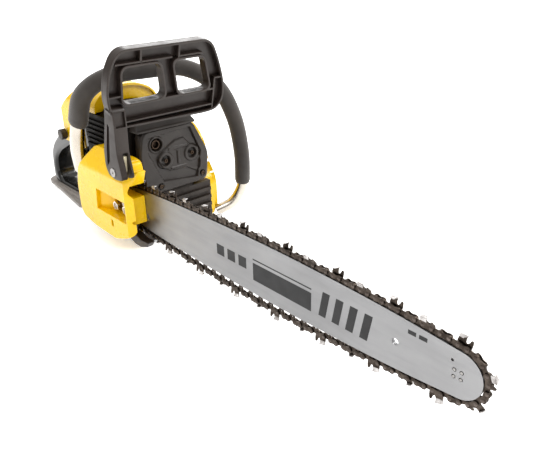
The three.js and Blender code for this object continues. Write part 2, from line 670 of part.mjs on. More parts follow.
function clutchCover() {
  const plan = outline([
    [COVER_REAR - 1, 0], [COVER_REAR - 1, COVER_OUT + 6], [COVER_REAR + 6, COVER_OUT], [COVER_FRONT + 1, COVER_FRONT_OUT],
    [COVER_FRONT + 1, 0],
  ]);
  const inPlan = outline([
    [COVER_REAR + WALL, 3], [COVER_REAR + WALL, COVER_OUT + 8], [COVER_REAR + 9, COVER_OUT + WALL],
    [COVER_FRONT + 3, COVER_FRONT_OUT + WALL], [COVER_FRONT + 3, 3],
  ]);
  const outer = slabXZ(rounded(COVER_OUTLINE, 6), -60, -2.6, 2).intersect(slabXY(plan, -60, 90));
  const cavity = slabXZ(outline([
    [COVER_REAR + 3, -24], [0, -39], [52, -42], [COVER_FRONT + 2, -38], [COVER_FRONT + 2, 40], [84, 40],
    [80, 60], [4, 66], [-14, 46], [COVER_REAR + 3, 8],
  ]), -60, 0).intersect(slabXY(inPlan, -60, 90));
  const pocketFloor = -9.5;
  const pocketBlock = block(14, 94, coverSkin(52), pocketFloor + 2.5, -28, 16);
  const pocket = slabXZ(rounded([[10, -19], [79, -26], [81, 9], [12, 13]], 4), -60, pocketFloor);
  const holes = [
    pocket,
    ...STUD_X.map((x) => rodY(4.5, x, STUD_Z, -60, 0, 12)),
    rodY(4.4, ...GUARD_PIVOT, -60, 0, 14),
    rodY(2.2, 90, -14, -60, 0, 10),
    slabXZ(rounded([[30, -31], [36, -31], [36, -26], [30, -26]], 2), -60, -8),
  ];
  const shell = cut(join(cut(outer, cavity), pocketBlock), ...holes);
  piece('clutch_cover', shell, YELLOW);
}

function barStud(index, x) {
  piece(`bar_stud_${index}`, rodY(4, x, STUD_Z, -20, 24, 12), STEEL);
}

function barNut(index, x) {
  const flange = rodY(8.2, x, STUD_Z, -12, -9.8, 16);
  const hex = solid(new THREE.CylinderGeometry(6.9, 6.9, 8, 6).translate(x, -16, STUD_Z));
  piece(`bar_nut_${index}`, cut(join(flange, hex), rodY(4.05, x, STUD_Z, -30, 0, 12)), CHROME);
}

function chainCatcher() {
  const hook = outline([
    [66, -34], [84, -34], [96, -38], [112, -37], [106, -45], [92, -50], [78, -50], [66, -46],
  ]);
  piece('chain_catcher', slabXZ(hook, -15, -4), BLACK);
}

// Front hand guard: its panel is drawn flat in a leaning plane, u across (Y) and w up; the arm is drawn upright.
function handGuard() {
  const lean = (body) => body.rotate([0, GUARD_LEAN * 180 / Math.PI, 0])
    .translate([GUARD_BASE[0], 0, GUARD_BASE[1]]);
  const height = (GUARD_TOP - GUARD_BASE[1]) / Math.cos(GUARD_LEAN);
  const loop = rounded([
    [-35, 52], [119, 52], [131, 66], [124, 108], [112, height], [-30, height], [-40, height - 26],
  ], 16);
  loop.holes.push(rounded([[-12, 88], [42, 88], [36, height - 25], [-10, height - 25]], 9));
  loop.holes.push(rounded([[61, 88], [112, 86], [104, height - 26], [54, height - 25]], 9));
  const panel = slabYZ(loop, -6, 6, 4);
  const pocket = (a, b, c, d) => block(0, 8, a, b, c, d);
  const pockets = [
    pocket(-30, 2, height - 14, height - 5), pocket(6, 66, height - 14, height - 5),
    pocket(70, 102, height - 14, height - 5), pocket(-30, 112, 58, 74),
  ];
  const armSide = rounded([
    [92, 142], [84, 122], [71, 84], [71, 65], [77, 54], [92, 51], [109, 54], [107, 66], [102, 88], [107, 127], [106, 142],
  ], 5);
  const arm = slabXZ(armSide, -37, -20.8, 3);
  const fork = block(60, 120, -30.2, -25.6, 40, 85);
  const pivotHole = rodY(4.3, ...GUARD_PIVOT, -60, 0, 14);
  const beam = join(lean(cut(panel, ...pockets)), arm);
  piece('hand_guard', cut(beam, fork, pivotHole), BLACK);
}

function guardPivot() {
  const [x, z] = GUARD_PIVOT;
  const pin = rodY(3.9, x, z, -38, -8, 14);
  const head = cut(rodY(6, x, z, -39.4, -37.3, 14), rodY(2, x, z, -42, -38.4, 6));
  piece('guard_pivot', join(pin, head), STEEL);
}

function brakeLever() {
  const [x, z] = GUARD_PIVOT;
  const shape = rounded([[x - 5, z - 7], [x + 6, z - 6], [x + 13, z + 18], [x + 7, z + 20], [x - 4, z + 8]], 3);
  shape.holes.push(circle(x, z, 4.5));
  piece('brake_lever', slabXZ(shape, -29.6, -26.2, 4), CREAM);
}

// ---------------------------------------------------------------- handles

function frontHandle() {
  const tube = bentRod([
    [-51, -15, 22], [-46, -19, 54], [-27, -22, 95], [-8, -17, 137], [14, 7, 159], [29, 58, 164],
    [42, 112, 160], [56, 152, 132], [64, 174, 86], [68, 183, 30], [67, 184, -18], [59, 170, -48],
    [47, 149, -62], [30, 120, -64], [12, 106, -64],
  ], TUBE_RADIUS, 32, 10);
  const lowerCut = block(-100, 100, 60, FLYWHEEL_SIDE + 53, -80, -40);
  const foot = cut(tube, lowerCut);
  piece('front_handle', foot, CHROME);
}

function frontGrip() {
  const line = [
    [-27, -22, 95], [-8, -17, 137], [14, 7, 159], [29, 58, 164], [42, 112, 160], [56, 152, 132],
    [64, 174, 86], [68, 183, 30], [67, 184, -18],
  ];
  const skin = bentRod(line, GRIP_RADIUS, 22, 12);
  const bore = bentRod([
    [-51, -15, 22], [-46, -19, 54], ...line, [59, 170, -48], [47, 149, -62],
  ], TUBE_RADIUS + 0.9, 30, 10);
  piece('front_grip', cut(skin, bore), RUBBER);
}

function rearHandle() {
  const side = rounded([
    [-76, -64], [-150, -70], [-286, -70], [-296, -62], [-295, -30], [-284, -6], [-262, 12], [-232, 30],
    [-134, 76], [-108, 76], [-92, 60], [-90, 34], [-76, 20],
  ], 12);
  const handHole = rounded([
    [-140, -52], [-262, -58], [-272, -40], [-262, -20], [-238, -3], [-172, 26], [-146, 24], [-136, 6],
  ], 12);
  const loop = cut(slabXZ(side, 34, 68, 4), slabXZ(handHole, 30, 72, 4));
  const tank = slabXZ(rounded([[-76, -64], [-134, -66], [-134, 20], [-118, 34], [-92, 34], [-76, 20]], 8), 12, 96, 3);
  const tankRoom = block(-126, -84, 18, 90, -58, 14);
  const filler = rodY(11, ...FUEL_CAP, 80, 120, 18);
  const primerSeat = rodY(9.8, -105, 8, 92.5, 120, 16);
  const toe = slabXY(rounded([[-130, 8], [-130, 92], [-290, 92], [-304, 64], [-287, 28]], 8), -70, -64, 3);
  const trigger = block(-176, -142, 43.5, 58.5, 6, 48);
  const lockout = block(-222, -176, 43.5, 58.5, 28, 80);
  const switchSeat = block(-153, -131, 45, 57, 66, 90);
  const pins = [TRIGGER_PIN, LOCKOUT_PIN].map(([x, z]) => rodY(2, x, z, 30, 72, 8));
  const solidHandle = join(loop, tank, toe);
  piece('rear_handle', cut(solidHandle, tankRoom, filler, primerSeat, trigger, lockout, switchSeat, ...pins), GLOSS_BLACK);
}

function throttleTrigger() {
  const shape = rounded([[-150, 44], [-144, 30], [-150, 6], [-160, 2], [-163, 18], [-158, 42]], 4);
  piece('throttle_trigger', cut(slabXZ(shape, 44.5, 57.5, 3), rodY(2, ...TRIGGER_PIN, 30, 72, 8)), BLACK);
}

function throttleLockout() {
  const shape = rounded([[-180, 46], [-188, 55], [-214, 46.5], [-219, 38], [-190, 35.5]], 4);
  piece('throttle_lockout', cut(slabXZ(shape, 45, 57, 3), rodY(2, ...LOCKOUT_PIN, 30, 72, 8)), BLACK);
}

function handlePin(name, x, z) {
  piece(name, rodY(1.6, x, z, 41, 61, 8), STEEL);
}

function chokeLever() {
  const shape = rounded([[-113, 40], [-103, 40], [-103, 62], [-110, 66], [-116, 60]], 3);
  const stem = rodY(2, -108, 46, 72, 99, 10);
  piece('choke_lever', join(slabXZ(shape, 98, 103, 3), stem), BLACK);
}

function stopSwitch() {
  const rocker = rounded([[-151, 75], [-146, 79], [-138, 79], [-133, 75], [-138, 69], [-146, 69]], 2);
  piece('stop_switch', slabXZ(rocker, 46, 56, 3), COPPER_RED);
}

function primerBulb() {
  const bulb = turnedY([
    [0, 96.6], [9, 96.6], [9, 99], [7.5, 103], [4.5, 106], [0, 107],
  ], -105, 8, 14);
  piece('primer_bulb', bulb, finish(0x9a2d20, 0.3, 0));
}

// ---------------------------------------------------------------- assembly

sawChain();
barPlate('bar_plate_right', -BAR_HALF, -CORE_HALF);
barCore();
barPlate('bar_plate_left', CORE_HALF, BAR_HALF);
noseSprocket();
noseBearing();
crankshaft();
connectingRod();
piston();
cylinder();
sparkPlug();
clutchHub();
clutchDrum();
sprocketClip();
brakeBand();
flywheel();
flywheelNut();
ignitionCoil();
crankcase();
oilPump();
engineShroud();
muffler();
mufflerCover();
[[52, 48], [95, 50], [111, 16], [41, 13.5]].forEach(([y, z], i) => mufflerScrew(i + 1, y, z));
airFilter();
carburettor();
intakeBoot();
butterfly('throttle_butterfly', -66);
butterfly('choke_butterfly', -80);
topCover();
coverKnob();
starterHousing();
starterPulley();
starterSpring();
starterRope();
starterGrip();
turnCap('oil_cap', ...OIL_CAP, FLYWHEEL_SIDE + 2, BODY_LEFT);
turnCap('fuel_cap', ...FUEL_CAP, 92, 110);
clutchCover();
STUD_X.forEach((x, i) => barStud(i + 1, x));
STUD_X.forEach((x, i) => barNut(i + 1, x));
chainCatcher();
handGuard();
guardPivot();
brakeLever();
frontHandle();
frontGrip();
rearHandle();
throttleTrigger();
throttleLockout();
handlePin('trigger_pin', ...TRIGGER_PIN);
handlePin('lockout_pin', ...LOCKOUT_PIN);
chokeLever();
stopSwitch();
primerBulb();

export default group;
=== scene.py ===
"""Looks of a petrol chainsaw with a 20 inch bar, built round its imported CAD.

Lengths are in millimetres until a mesh is made. +X runs forward along the bar, +Y to the operator's left.
"""
import json
import math

import bpy
import bmesh
from mathutils import Matrix, Vector
from mathutils.geometry import tessellate_polygon


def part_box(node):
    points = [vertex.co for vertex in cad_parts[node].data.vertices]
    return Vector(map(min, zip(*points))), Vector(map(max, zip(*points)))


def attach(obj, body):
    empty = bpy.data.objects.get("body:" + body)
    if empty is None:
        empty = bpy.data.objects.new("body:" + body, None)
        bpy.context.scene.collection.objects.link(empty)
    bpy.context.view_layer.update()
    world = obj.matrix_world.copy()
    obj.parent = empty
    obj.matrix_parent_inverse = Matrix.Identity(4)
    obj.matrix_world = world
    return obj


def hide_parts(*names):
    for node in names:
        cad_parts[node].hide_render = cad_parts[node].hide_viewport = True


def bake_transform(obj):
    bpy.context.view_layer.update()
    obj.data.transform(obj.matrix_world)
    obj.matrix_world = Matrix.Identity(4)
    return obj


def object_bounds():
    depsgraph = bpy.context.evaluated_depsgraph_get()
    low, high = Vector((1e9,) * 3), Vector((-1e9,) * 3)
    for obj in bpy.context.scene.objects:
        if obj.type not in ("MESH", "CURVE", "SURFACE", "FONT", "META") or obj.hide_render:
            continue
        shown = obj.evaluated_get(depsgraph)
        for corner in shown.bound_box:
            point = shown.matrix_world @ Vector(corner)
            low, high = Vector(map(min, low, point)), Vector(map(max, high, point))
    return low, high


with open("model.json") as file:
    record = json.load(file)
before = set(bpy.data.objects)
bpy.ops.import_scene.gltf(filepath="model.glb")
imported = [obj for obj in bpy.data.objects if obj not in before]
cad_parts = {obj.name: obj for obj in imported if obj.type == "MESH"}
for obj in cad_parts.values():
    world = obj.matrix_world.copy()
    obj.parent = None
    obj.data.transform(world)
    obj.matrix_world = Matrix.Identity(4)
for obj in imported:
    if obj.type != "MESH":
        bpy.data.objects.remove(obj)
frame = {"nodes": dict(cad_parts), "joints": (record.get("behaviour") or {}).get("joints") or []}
cad_low, cad_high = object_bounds()
MM = 0.001
TAU = 2 * math.pi

# Everything below is drawn round the drive sprocket's centre, in the bar's middle plane.
SPROCKET = next(Vector(joint["pos_m"]) / MM for joint in frame["joints"] if joint["name"] == "drum_spin")


def in_row(point):
    """A drawn point, in millimetres, as a place in the row frame, in metres."""
    return (Vector(point) + SPROCKET) * MM


def limits(node):
    """Lowest and highest corner of a CAD node, as drawn."""
    low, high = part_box(node)
    return low / MM - SPROCKET, high / MM - SPROCKET


def middle_of(node):
    """The middle of a CAD node's box, as drawn."""
    low, high = limits(node)
    return (low + high) / 2


# ---------------------------------------------------------------- shape helpers

class Shape:
    """Gathers the geometry of one piece."""

    def __init__(self):
        self.points = []
        self.faces = []

    def add(self, other):
        start = len(self.points)
        self.points.extend(other.points)
        self.faces.extend([start + i for i in face] for face in other.faces)
        return self

    def moved(self, place):
        """A copy with every point passed through a function."""
        copy = Shape()
        copy.points = [place(point) for point in self.points]
        copy.faces = list(self.faces)
        return copy


def anticlockwise(ring):
    """Whether the ring turns to the left; twice its signed area says so."""
    area = sum(ring[i - 1][0] * ring[i][1] - ring[i][0] * ring[i - 1][1] for i in range(len(ring)))
    return area > 0


def rounded(points, radius, steps=6):
    """The closed outline with each corner rounded by a curve that starts `radius` before it."""
    ring = []
    for i, corner in enumerate(points):
        here = Vector(corner)
        before = Vector(points[i - 1])
        after = Vector(points[(i + 1) % len(points)])
        reach = min(radius, (here - before).length / 2.1, (here - after).length / 2.1)
        enter = here + (before - here).normalized() * reach
        leave = here + (after - here).normalized() * reach
        for step in range(steps + 1):
            t = step / steps
            ring.append(enter.lerp(here, t).lerp(here.lerp(leave, t), t))
    return ring


def circle(a, b, radius, sides=32):
    """A ring of points round (a, b)."""
    return [Vector((a + radius * math.cos(TAU * i / sides), b + radius * math.sin(TAU * i / sides)))
            for i in range(sides)]


def inset(ring, distance):
    """The ring moved to its left by a distance: inwards when it runs anticlockwise."""
    moved = []
    for i, corner in enumerate(ring):
        here = Vector(corner)
        back = (here - Vector(ring[i - 1])).normalized()
        ahead = (Vector(ring[(i + 1) % len(ring)]) - here).normalized()
        left = Vector((-back.y, back.x))
        middle = (left + Vector((-ahead.y, ahead.x))).normalized()
        moved.append(here + middle * distance / max(0.35, middle.dot(left)))
    return moved


def prism(rings, low, high, bevel=0.6, steps=2):
    """A slab of the outline rings[0] with the holes rings[1:], edges rounded, thick along its third axis."""
    turns = [math.pi / 2 * i / steps for i in range(steps + 1)] if bevel else [math.pi / 2]
    levels = [(low + bevel * (1 - math.cos(turn)), bevel * (1 - math.sin(turn))) for turn in turns]
    levels += [(high - bevel * (1 - math.cos(turn)), bevel * (1 - math.sin(turn)))
               for turn in reversed(turns)]
    shape = Shape()
    bottoms, tops = [], []
    for index, points in enumerate(rings):
        ring = [Vector(point) for point in points]
        if anticlockwise(ring) != (index == 0):
            ring.reverse()
        count = len(ring)
        start = len(shape.points)
        for height, amount in levels:
            shape.points.extend((p.x, p.y, height) for p in (inset(ring, amount) if amount else ring))
        for level in range(len(levels) - 1):
            for i in range(count):
                a = start + level * count + i
                b = start + level * count + (i + 1) % count
                shape.faces.append([a, b, b + count, a + count])
        bottoms.append(range(start, start + count))
        tops.append(range(start + (len(levels) - 1) * count, start + len(levels) * count))
    for rims, flip in ((bottoms, True), (tops, False)):
        order = [i for rim in rims for i in rim]
        flat = [[Vector((shape.points[i][0], shape.points[i][1], 0)) for i in rim] for rim in rims]
        for corners in tessellate_polygon(flat):
            face = [order[i] for i in corners]
            shape.faces.append(face[::-1] if flip else face)
    return shape


def facing_y(shape):
    """From the drawing plane to the XZ plane, thick along Y."""
    return shape.moved(lambda p: (p[0], p[2], p[1]))


def facing_x(shape):
    """From the drawing plane to the YZ plane, thick along X."""
    return shape.moved(lambda p: (p[2], p[0], p[1]))


def box_ring(a_low, a_high, b_low, b_high):
    """A rectangle's corners."""
    return [(a_low, b_low), (a_high, b_low), (a_high, b_high), (a_low, b_high)]


def through(points, closed=False, steps=10):
    """A centripetal Catmull-Rom curve through the points, as many short steps."""
    points = [Vector(p) for p in points]
    count = len(points)
    curve = []
    for i in range(count if closed else count - 1):
        p1, p2 = points[i], points[(i + 1) % count]
        p0 = points[i - 1] if closed or i else 2 * p1 - p2
        p3 = points[(i + 2) % count] if closed or i + 2 < count else 2 * p2 - p1
        d0, d1, d2 = (math.sqrt(max((q - p).length, 1e-6)) for p, q in ((p0, p1), (p1, p2), (p2, p3)))
        leave = ((p1 - p0) / d0 - (p2 - p0) / (d0 + d1) + (p2 - p1) / d1) * d1
        arrive = ((p2 - p1) / d1 - (p3 - p1) / (d1 + d2) + (p3 - p2) / d2) * d1
        for step in range(steps):
            t = step / steps
            curve.append(p1 + leave * t + (3 * (p2 - p1) - 2 * leave - arrive) * t ** 2
                         + (2 * (p1 - p2) + leave + arrive) * t ** 3)
    if not closed:
        curve.append(points[-1].copy())
    return curve


def tube(line, radius, sides=28, widen=lambda share: 1):
    """A bar along a line; `radius` and `widen`, its stretch along X, take the share of the way along."""
    shape = Shape()
    ahead = (line[1] - line[0]).normalized()
    side = ahead.orthogonal().normalized()
    last = len(line) - 1
    for i, here in enumerate(line):
        turned = (line[min(i + 1, last)] - line[max(i - 1, 0)]).normalized()
        side = (ahead.rotation_difference(turned) @ side).normalized()
        ahead = turned
        up = ahead.cross(side)
        for j in range(sides):
            angle = TAU * j / sides
            spoke = (side * math.cos(angle) + up * math.sin(angle)) * radius(i / last)
            spoke.x *= widen(i / last)
            shape.points.append(tuple(here + spoke))
    for i in range(last):
        for j in range(sides):
            a, b = i * sides + j, i * sides + (j + 1) % sides
            shape.faces.append([a, b, b + sides, a + sides])
    shape.faces.append(list(range(sides))[::-1])
    shape.faces.append(list(range(last * sides, (last + 1) * sides)))
    return shape


def turned(profile, sides=24):
    """A piece turned about the third axis; the profile's points are (radius, height), foot and tip closed."""
    shape = Shape()
    for radius, height in profile:
        shape.points.extend((radius * math.cos(TAU * j / sides), radius * math.sin(TAU * j / sides), height)
                            for j in range(sides))
    for i in range(len(profile) - 1):
        for j in range(sides):
            a, b = i * sides + j, i * sides + (j + 1) % sides
            shape.faces.append([a, b, b + sides, a + sides])
    shape.faces.append(list(range(sides))[::-1])
    shape.faces.append(list(range((len(profile) - 1) * sides, len(profile) * sides)))
    return shape


def ease(value, low, high):
    """0 below low, 1 above high and a smooth step between."""
    t = min(1, max(0, (value - low) / (high - low)))
    return t * t * (3 - 2 * t)


def mesh_object(name, shape, material):
    """An object made from a drawn shape, placed in the row frame with its faces pointing out."""
    mesh = bpy.data.meshes.new(name)
    mesh.from_pydata([in_row(point) for point in shape.points], [], shape.faces)
    work = bmesh.new()
    work.from_mesh(mesh)
    bmesh.ops.remove_doubles(work, verts=work.verts, dist=1e-6)
    bmesh.ops.recalc_face_normals(work, faces=work.faces)
    work.to_mesh(mesh)
    work.free()
    mesh.materials.append(material)
    made = bpy.data.objects.new(name, mesh)
    bpy.context.scene.collection.objects.link(made)
    return made


def smooth_shading(obj, angle=38):
    """Smooth faces, with crisp edges where they meet at more than the angle."""
    obj.data.shade_smooth()
    obj.data.set_sharp_from_angle(angle=math.radians(angle))
    normals = obj.modifiers.new("normals", "WEIGHTED_NORMAL")
    normals.keep_sharp = True


def carve(obj, *tools):
    """Cuts other shapes out of an object and keeps the result as its mesh."""
    for index, shape in enumerate(tools):
        tool = mesh_object(f"{obj.name}_tool_{index}", shape, obj.data.materials[0])
        cutter = obj.modifiers.new("cut", "BOOLEAN")
        cutter.operation = "DIFFERENCE"
        cutter.solver = "EXACT"
        cutter.object = tool
        carved = bpy.data.meshes.new_from_object(obj.evaluated_get(bpy.context.evaluated_depsgraph_get()))
        obj.modifiers.clear()
        obj.data = carved
        bpy.data.objects.remove(tool)


def soften(obj, width, segments=2):
    """Small round edges where faces meet."""
    edge = obj.modifiers.new("edge", "BEVEL")
    edge.width = width * MM
    edge.segments = segments
    edge.limit_method = "ANGLE"
    edge.angle_limit = math.radians(35)
    edge.miter_outer = "MITER_ARC"
    edge.use_clamp_overlap = True


def place(obj, body, slot, *nodes, edge=0):
    """Shades a finished piece, gives it to its body and hides the CAD nodes that it stands for; its slot is
    not used.
    """
    if edge:
        soften(obj, edge)
    smooth_shading(obj)
    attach(obj, body)
    if nodes:
        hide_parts(*nodes)
    return obj


# ---------------------------------------------------------------- materials

def blank(name):
    """A new material with its node tree and its Principled shader."""
    material = bpy.data.materials.new(name)
    material.use_nodes = True
    tree = material.node_tree
    return material, tree, tree.nodes["Principled BSDF"]


def noise(tree, scale, detail=3.0, stretch=(1, 1, 1)):
    """Noise of `scale` patches per metre in the row frame."""
    where = tree.nodes.new("ShaderNodeTexCoord")
    mapping = tree.nodes.new("ShaderNodeMapping")
    mapping.inputs["Scale"].default_value = stretch
    texture = tree.nodes.new("ShaderNodeTexNoise")
    texture.inputs["Scale"].default_value = scale
    texture.inputs["Detail"].default_value = detail
    tree.links.new(where.outputs["Object"], mapping.inputs["Vector"])
    tree.links.new(mapping.outputs["Vector"], texture.inputs["Vector"])
    return texture.outputs["Fac"]


def spread(tree, value, low, high, start=0.3, end=0.7):
    """The value spread over low to high."""
    span = tree.nodes.new("ShaderNodeMapRange")
    span.inputs["From Min"].default_value = start
    span.inputs["From Max"].default_value = end
    span.inputs["To Min"].default_value = low
    span.inputs["To Max"].default_value = high
    tree.links.new(value, span.inputs["Value"])
    return span.outputs["Result"]


def blended(tree, share, first, second):
    """A mix of two colours, each a plain triple or another node's output."""
    mix = tree.nodes.new("ShaderNodeMix")
    mix.data_type = "RGBA"
    for socket, colour in ((mix.inputs["A"], first), (mix.inputs["B"], second)):
        if isinstance(colour, tuple):
            socket.default_value = (*colour, 1)
        else:
            tree.links.new(colour, socket)
    tree.links.new(share, mix.inputs["Factor"])
    return mix.outputs["Result"]


def grain(tree, shader, height, distance):
    """Surface relief `distance` millimetres deep."""
    bump = tree.nodes.new("ShaderNodeBump")
    bump.inputs["Strength"].default_value = 1
    bump.inputs["Distance"].default_value = distance * MM
    tree.links.new(height, bump.inputs["Height"])
    tree.links.new(bump.outputs["Normal"], shader.inputs["Normal"])


def plastic(name, dark, light, rough, relief, relief_scale, coat=0.0, sheen=0.0, shine=0.5):
    """Moulded plastic or rubber: faint mottling, a band of roughness and a fine grain."""
    material, tree, shader = blank(name)
    tone = spread(tree, noise(tree, 18, 4), 0, 1)
    tree.links.new(blended(tree, tone, dark, light), shader.inputs["Base Color"])
    tree.links.new(spread(tree, noise(tree, 60, 5), *rough), shader.inputs["Roughness"])
    grain(tree, shader, noise(tree, relief_scale, 4), relief)
    shader.inputs["Specular IOR Level"].default_value = shine
    shader.inputs["Coat Weight"].default_value = coat
    shader.inputs["Coat Roughness"].default_value = 0.12
    shader.inputs["Sheen Weight"].default_value = sheen
    return material


def metal(name, dark, light, rough, relief=0.02, relief_scale=900, stretch=(1, 1, 1), patch=40,
          metallic=1.0):
    """Bare metal: mottled tone, uneven roughness, and a grain that may be stretched into brush lines."""
    material, tree, shader = blank(name)
    tone = spread(tree, noise(tree, patch, 6), 0, 1)
    tree.links.new(blended(tree, tone, dark, light), shader.inputs["Base Color"])
    smear = noise(tree, relief_scale / 3, 4, stretch)
    tree.links.new(spread(tree, smear, *rough), shader.inputs["Roughness"])
    grain(tree, shader, noise(tree, relief_scale, 4, stretch), relief)
    shader.inputs["Metallic"].default_value = metallic
    return material


YELLOW = plastic("yellow_plastic", (0.8, 0.49, 0.0012), (0.87, 0.56, 0.0016),
                 (0.22, 0.34), 0.02, 900, coat=0.25)
BLACK = plastic("black_plastic", (0.022, 0.015, 0.012), (0.036, 0.026, 0.021), (0.3, 0.46), 0.05, 1400)
GLOSS = plastic("gloss_black_plastic", (0.008, 0.008, 0.008), (0.014, 0.013, 0.012),
                (0.1, 0.22), 0.02, 500, coat=0.2)
# Darker than black_plastic: painted shade, the shadow that the front handle and the clutch cover cast on the
# engine shroud.
PAINTED_SHADE_SHROUD = plastic("shroud_plastic_painted_shade", (0.007, 0.005, 0.004), (0.012, 0.009, 0.007),
                 (0.4, 0.55), 0.05, 1200, shine=0.12)
CASTING = plastic("black_casting", (0.024, 0.018, 0.014), (0.046, 0.036, 0.029),
                  (0.4, 0.6), 0.12, 900, shine=0.4)
# A lighter grey-brown than black plastic: painted sheen on the toe plate's top and painted floor reflection
# on its underside.
PAINTED_SHEEN_PLASTIC = plastic("toe_plastic_painted_sheen", (0.2, 0.18, 0.165), (0.29, 0.265, 0.245), (0.3, 0.45), 0.05, 1200)
SHIELD = plastic("black_heat_shield", (0.022, 0.017, 0.014), (0.036, 0.029, 0.024), (0.34, 0.48), 0.04, 1100)
FOAM = plastic("grip_foam", (0.026, 0.021, 0.018), (0.045, 0.037, 0.031), (0.62, 0.8), 0.12, 2200, sheen=0.35)
RUBBER = plastic("rubber", (0.02, 0.018, 0.017), (0.035, 0.03, 0.028), (0.6, 0.78), 0.06, 1200)
CREAM = plastic("cream_plastic", (0.6, 0.53, 0.36), (0.72, 0.65, 0.47), (0.4, 0.55), 0.03, 800)
FELT = plastic("filter_felt", (0.55, 0.5, 0.38), (0.72, 0.66, 0.5), (0.8, 0.95), 0.3, 1500)
RED = plastic("red_plastic", (0.35, 0.02, 0.012), (0.45, 0.03, 0.02), (0.25, 0.4), 0.02, 800, coat=0.3)
ROPE = plastic("rope", (0.3, 0.28, 0.25), (0.55, 0.52, 0.47), (0.7, 0.9), 0.3, 900)
PRINT = plastic("printed_black", (0.012, 0.012, 0.013), (0.02, 0.02, 0.021), (0.4, 0.55), 0.01, 1500)
BAR_STEEL = metal("bar_steel", (0.29, 0.29, 0.295), (0.35, 0.35, 0.355),
                  (0.34, 0.5), 0.012, 500, (0.12, 1, 1), 14)
CHAIN_STEEL = metal("chain_steel", (0.04, 0.032, 0.027), (0.12, 0.1, 0.085),
                    (0.3, 0.55), 0.05, 1200, patch=120)
RIVET_STEEL = metal("rivet_steel", (0.07, 0.055, 0.048), (0.17, 0.145, 0.13), (0.3, 0.5), 0.03, 900)
CUTTER_STEEL = metal("cutter_steel", (0.3, 0.28, 0.27), (0.75, 0.73, 0.72),
                     (0.2, 0.4), 0.03, 900, patch=160, metallic=0.6)
STEEL = metal("steel", (0.26, 0.25, 0.24), (0.42, 0.41, 0.4), (0.28, 0.45), 0.03, 900)
BRONZED = metal("bronzed_steel", (0.09, 0.035, 0.005), (0.2, 0.09, 0.015),
                (0.35, 0.5), 0.03, 900, metallic=0.4)
DARK_STEEL = metal("dark_steel", (0.05, 0.035, 0.025), (0.12, 0.09, 0.07), (0.35, 0.55), 0.04, 900)
BRIGHT = metal("bright_steel", (0.68, 0.67, 0.66), (0.82, 0.81, 0.8), (0.14, 0.26), 0.01, 700)
TUBE = metal("bare_aluminium", (0.5, 0.46, 0.4), (0.62, 0.58, 0.52), (0.2, 0.32), 0.015, 600, (1, 1, 0.2), 20)
CAST_METAL = metal("cast_aluminium", (0.4, 0.4, 0.41), (0.58, 0.58, 0.59), (0.4, 0.6), 0.08, 800)
BRASS = metal("brass", (0.5, 0.33, 0.11), (0.66, 0.46, 0.17), (0.22, 0.4), 0.02, 900)


# ---------------------------------------------------------------- guide bar and chain

PITCH = 8.255
DRIVE_LINKS = 76
SPROCKET_TEETH = 8
NOSE_TEETH = 10
CHAIN_SAG = 5
RIVET_RISE = 3.9
NOSE_X = middle_of("nose_bearing").x
BAR_TAIL_X = limits("bar_plate_right")[0].x
BAR_HALF = limits("bar_plate_left")[1].y
CORE_HALF = limits("bar_plate_left")[0].y
STUD_X = [middle_of(f"bar_stud_{i}").x for i in (1, 2)]
STUD_Z = middle_of("bar_stud_1").z
NOSE_RAIL = 22.5
NOSE_RIVET_CIRCLE = 4.7
NOSE_RIVET_HOLE = 1.8
PRINT_PROUD = 0.06
PRINT_SUNK = 0.1

BAR_WIDTHS = through([(BAR_TAIL_X, 18), (80, 26), (200, 31.5), (340, 33), (480, 28.3), (NOSE_X, NOSE_RAIL)])


def bar_half_width(x):
    """Half the bar's width at x, up to where the nose begins."""
    for a, b in zip(BAR_WIDTHS, BAR_WIDTHS[1:]):
        if b.x >= x:
            return a.y + (b.y - a.y) * (x - a.x) / (b.x - a.x)
    return NOSE_RAIL


def bar_outline():
    """The bar's edge: the upper rail, the round nose, the lower rail and the square tail."""
    start = BAR_TAIL_X + 6
    upper = [(x, bar_half_width(x)) for x in (start + (NOSE_X - start) * i / 40 for i in range(41))]
    nose = [(NOSE_X + NOSE_RAIL * math.sin(math.pi * i / 28), NOSE_RAIL * math.cos(math.pi * i / 28))
            for i in range(1, 28)]
    lower = [(x, -z) for x, z in reversed(upper)]
    return upper + nose + lower + [(BAR_TAIL_X, -12), (BAR_TAIL_X, 12)]


def bar_plates():
    """The bar's two outer plates, with a stud slot, oil and grease holes and holes for the nose rivets."""
    slot = rounded(box_ring(34, 82, STUD_Z - 4.4, STUD_Z + 4.4), 4)
    oil_hole = circle(99, -7.5, 4.5)
    holes = [slot, oil_hole, circle(NOSE_X - 61, 0, 3.4), circle(NOSE_X - 6, 11.4, 1.3, 16)]
    for quarter in range(4):
        angle = math.pi / 4 + quarter * math.pi / 2
        across, up = (NOSE_RIVET_CIRCLE * turn(angle) for turn in (math.cos, math.sin))
        holes.append(circle(NOSE_X + across, up, NOSE_RIVET_HOLE, 16))
    for name, low, high in (("right", -BAR_HALF, -CORE_HALF), ("left", CORE_HALF, BAR_HALF)):
        plate = facing_y(prism([bar_outline(), *holes], low, high, 0.25))
        place(mesh_object(f"bar_{name}", plate, BAR_STEEL), "machine", "bar_steel", f"bar_plate_{name}")


def bar_marks():
    """Plain dark printed shapes on the bar: squares, a panel under a line, slanted bars and dashes."""
    boxes = [box_ring(242 + 19 * i, 255 + 19 * i, -7, 6) for i in range(3)]
    boxes += [box_ring(304, 390, -16, 5), box_ring(304, 390, 8.5, 10)]
    boxes += [box_ring(502 + 11 * i, 510 + 11 * i, 15, 19) for i in range(2)]
    bars = [[(x, -15), (x + 9, -15), (x + 14, 13), (x + 5, 13)] for x in (400, 417, 434, 451)]
    marks = Shape()
    for ring in boxes + bars:
        marks.add(prism([ring], -BAR_HALF - PRINT_PROUD, -BAR_HALF + PRINT_SUNK, 0))
    place(mesh_object("bar_print", facing_y(marks), PRINT), "machine", "black_plastic")


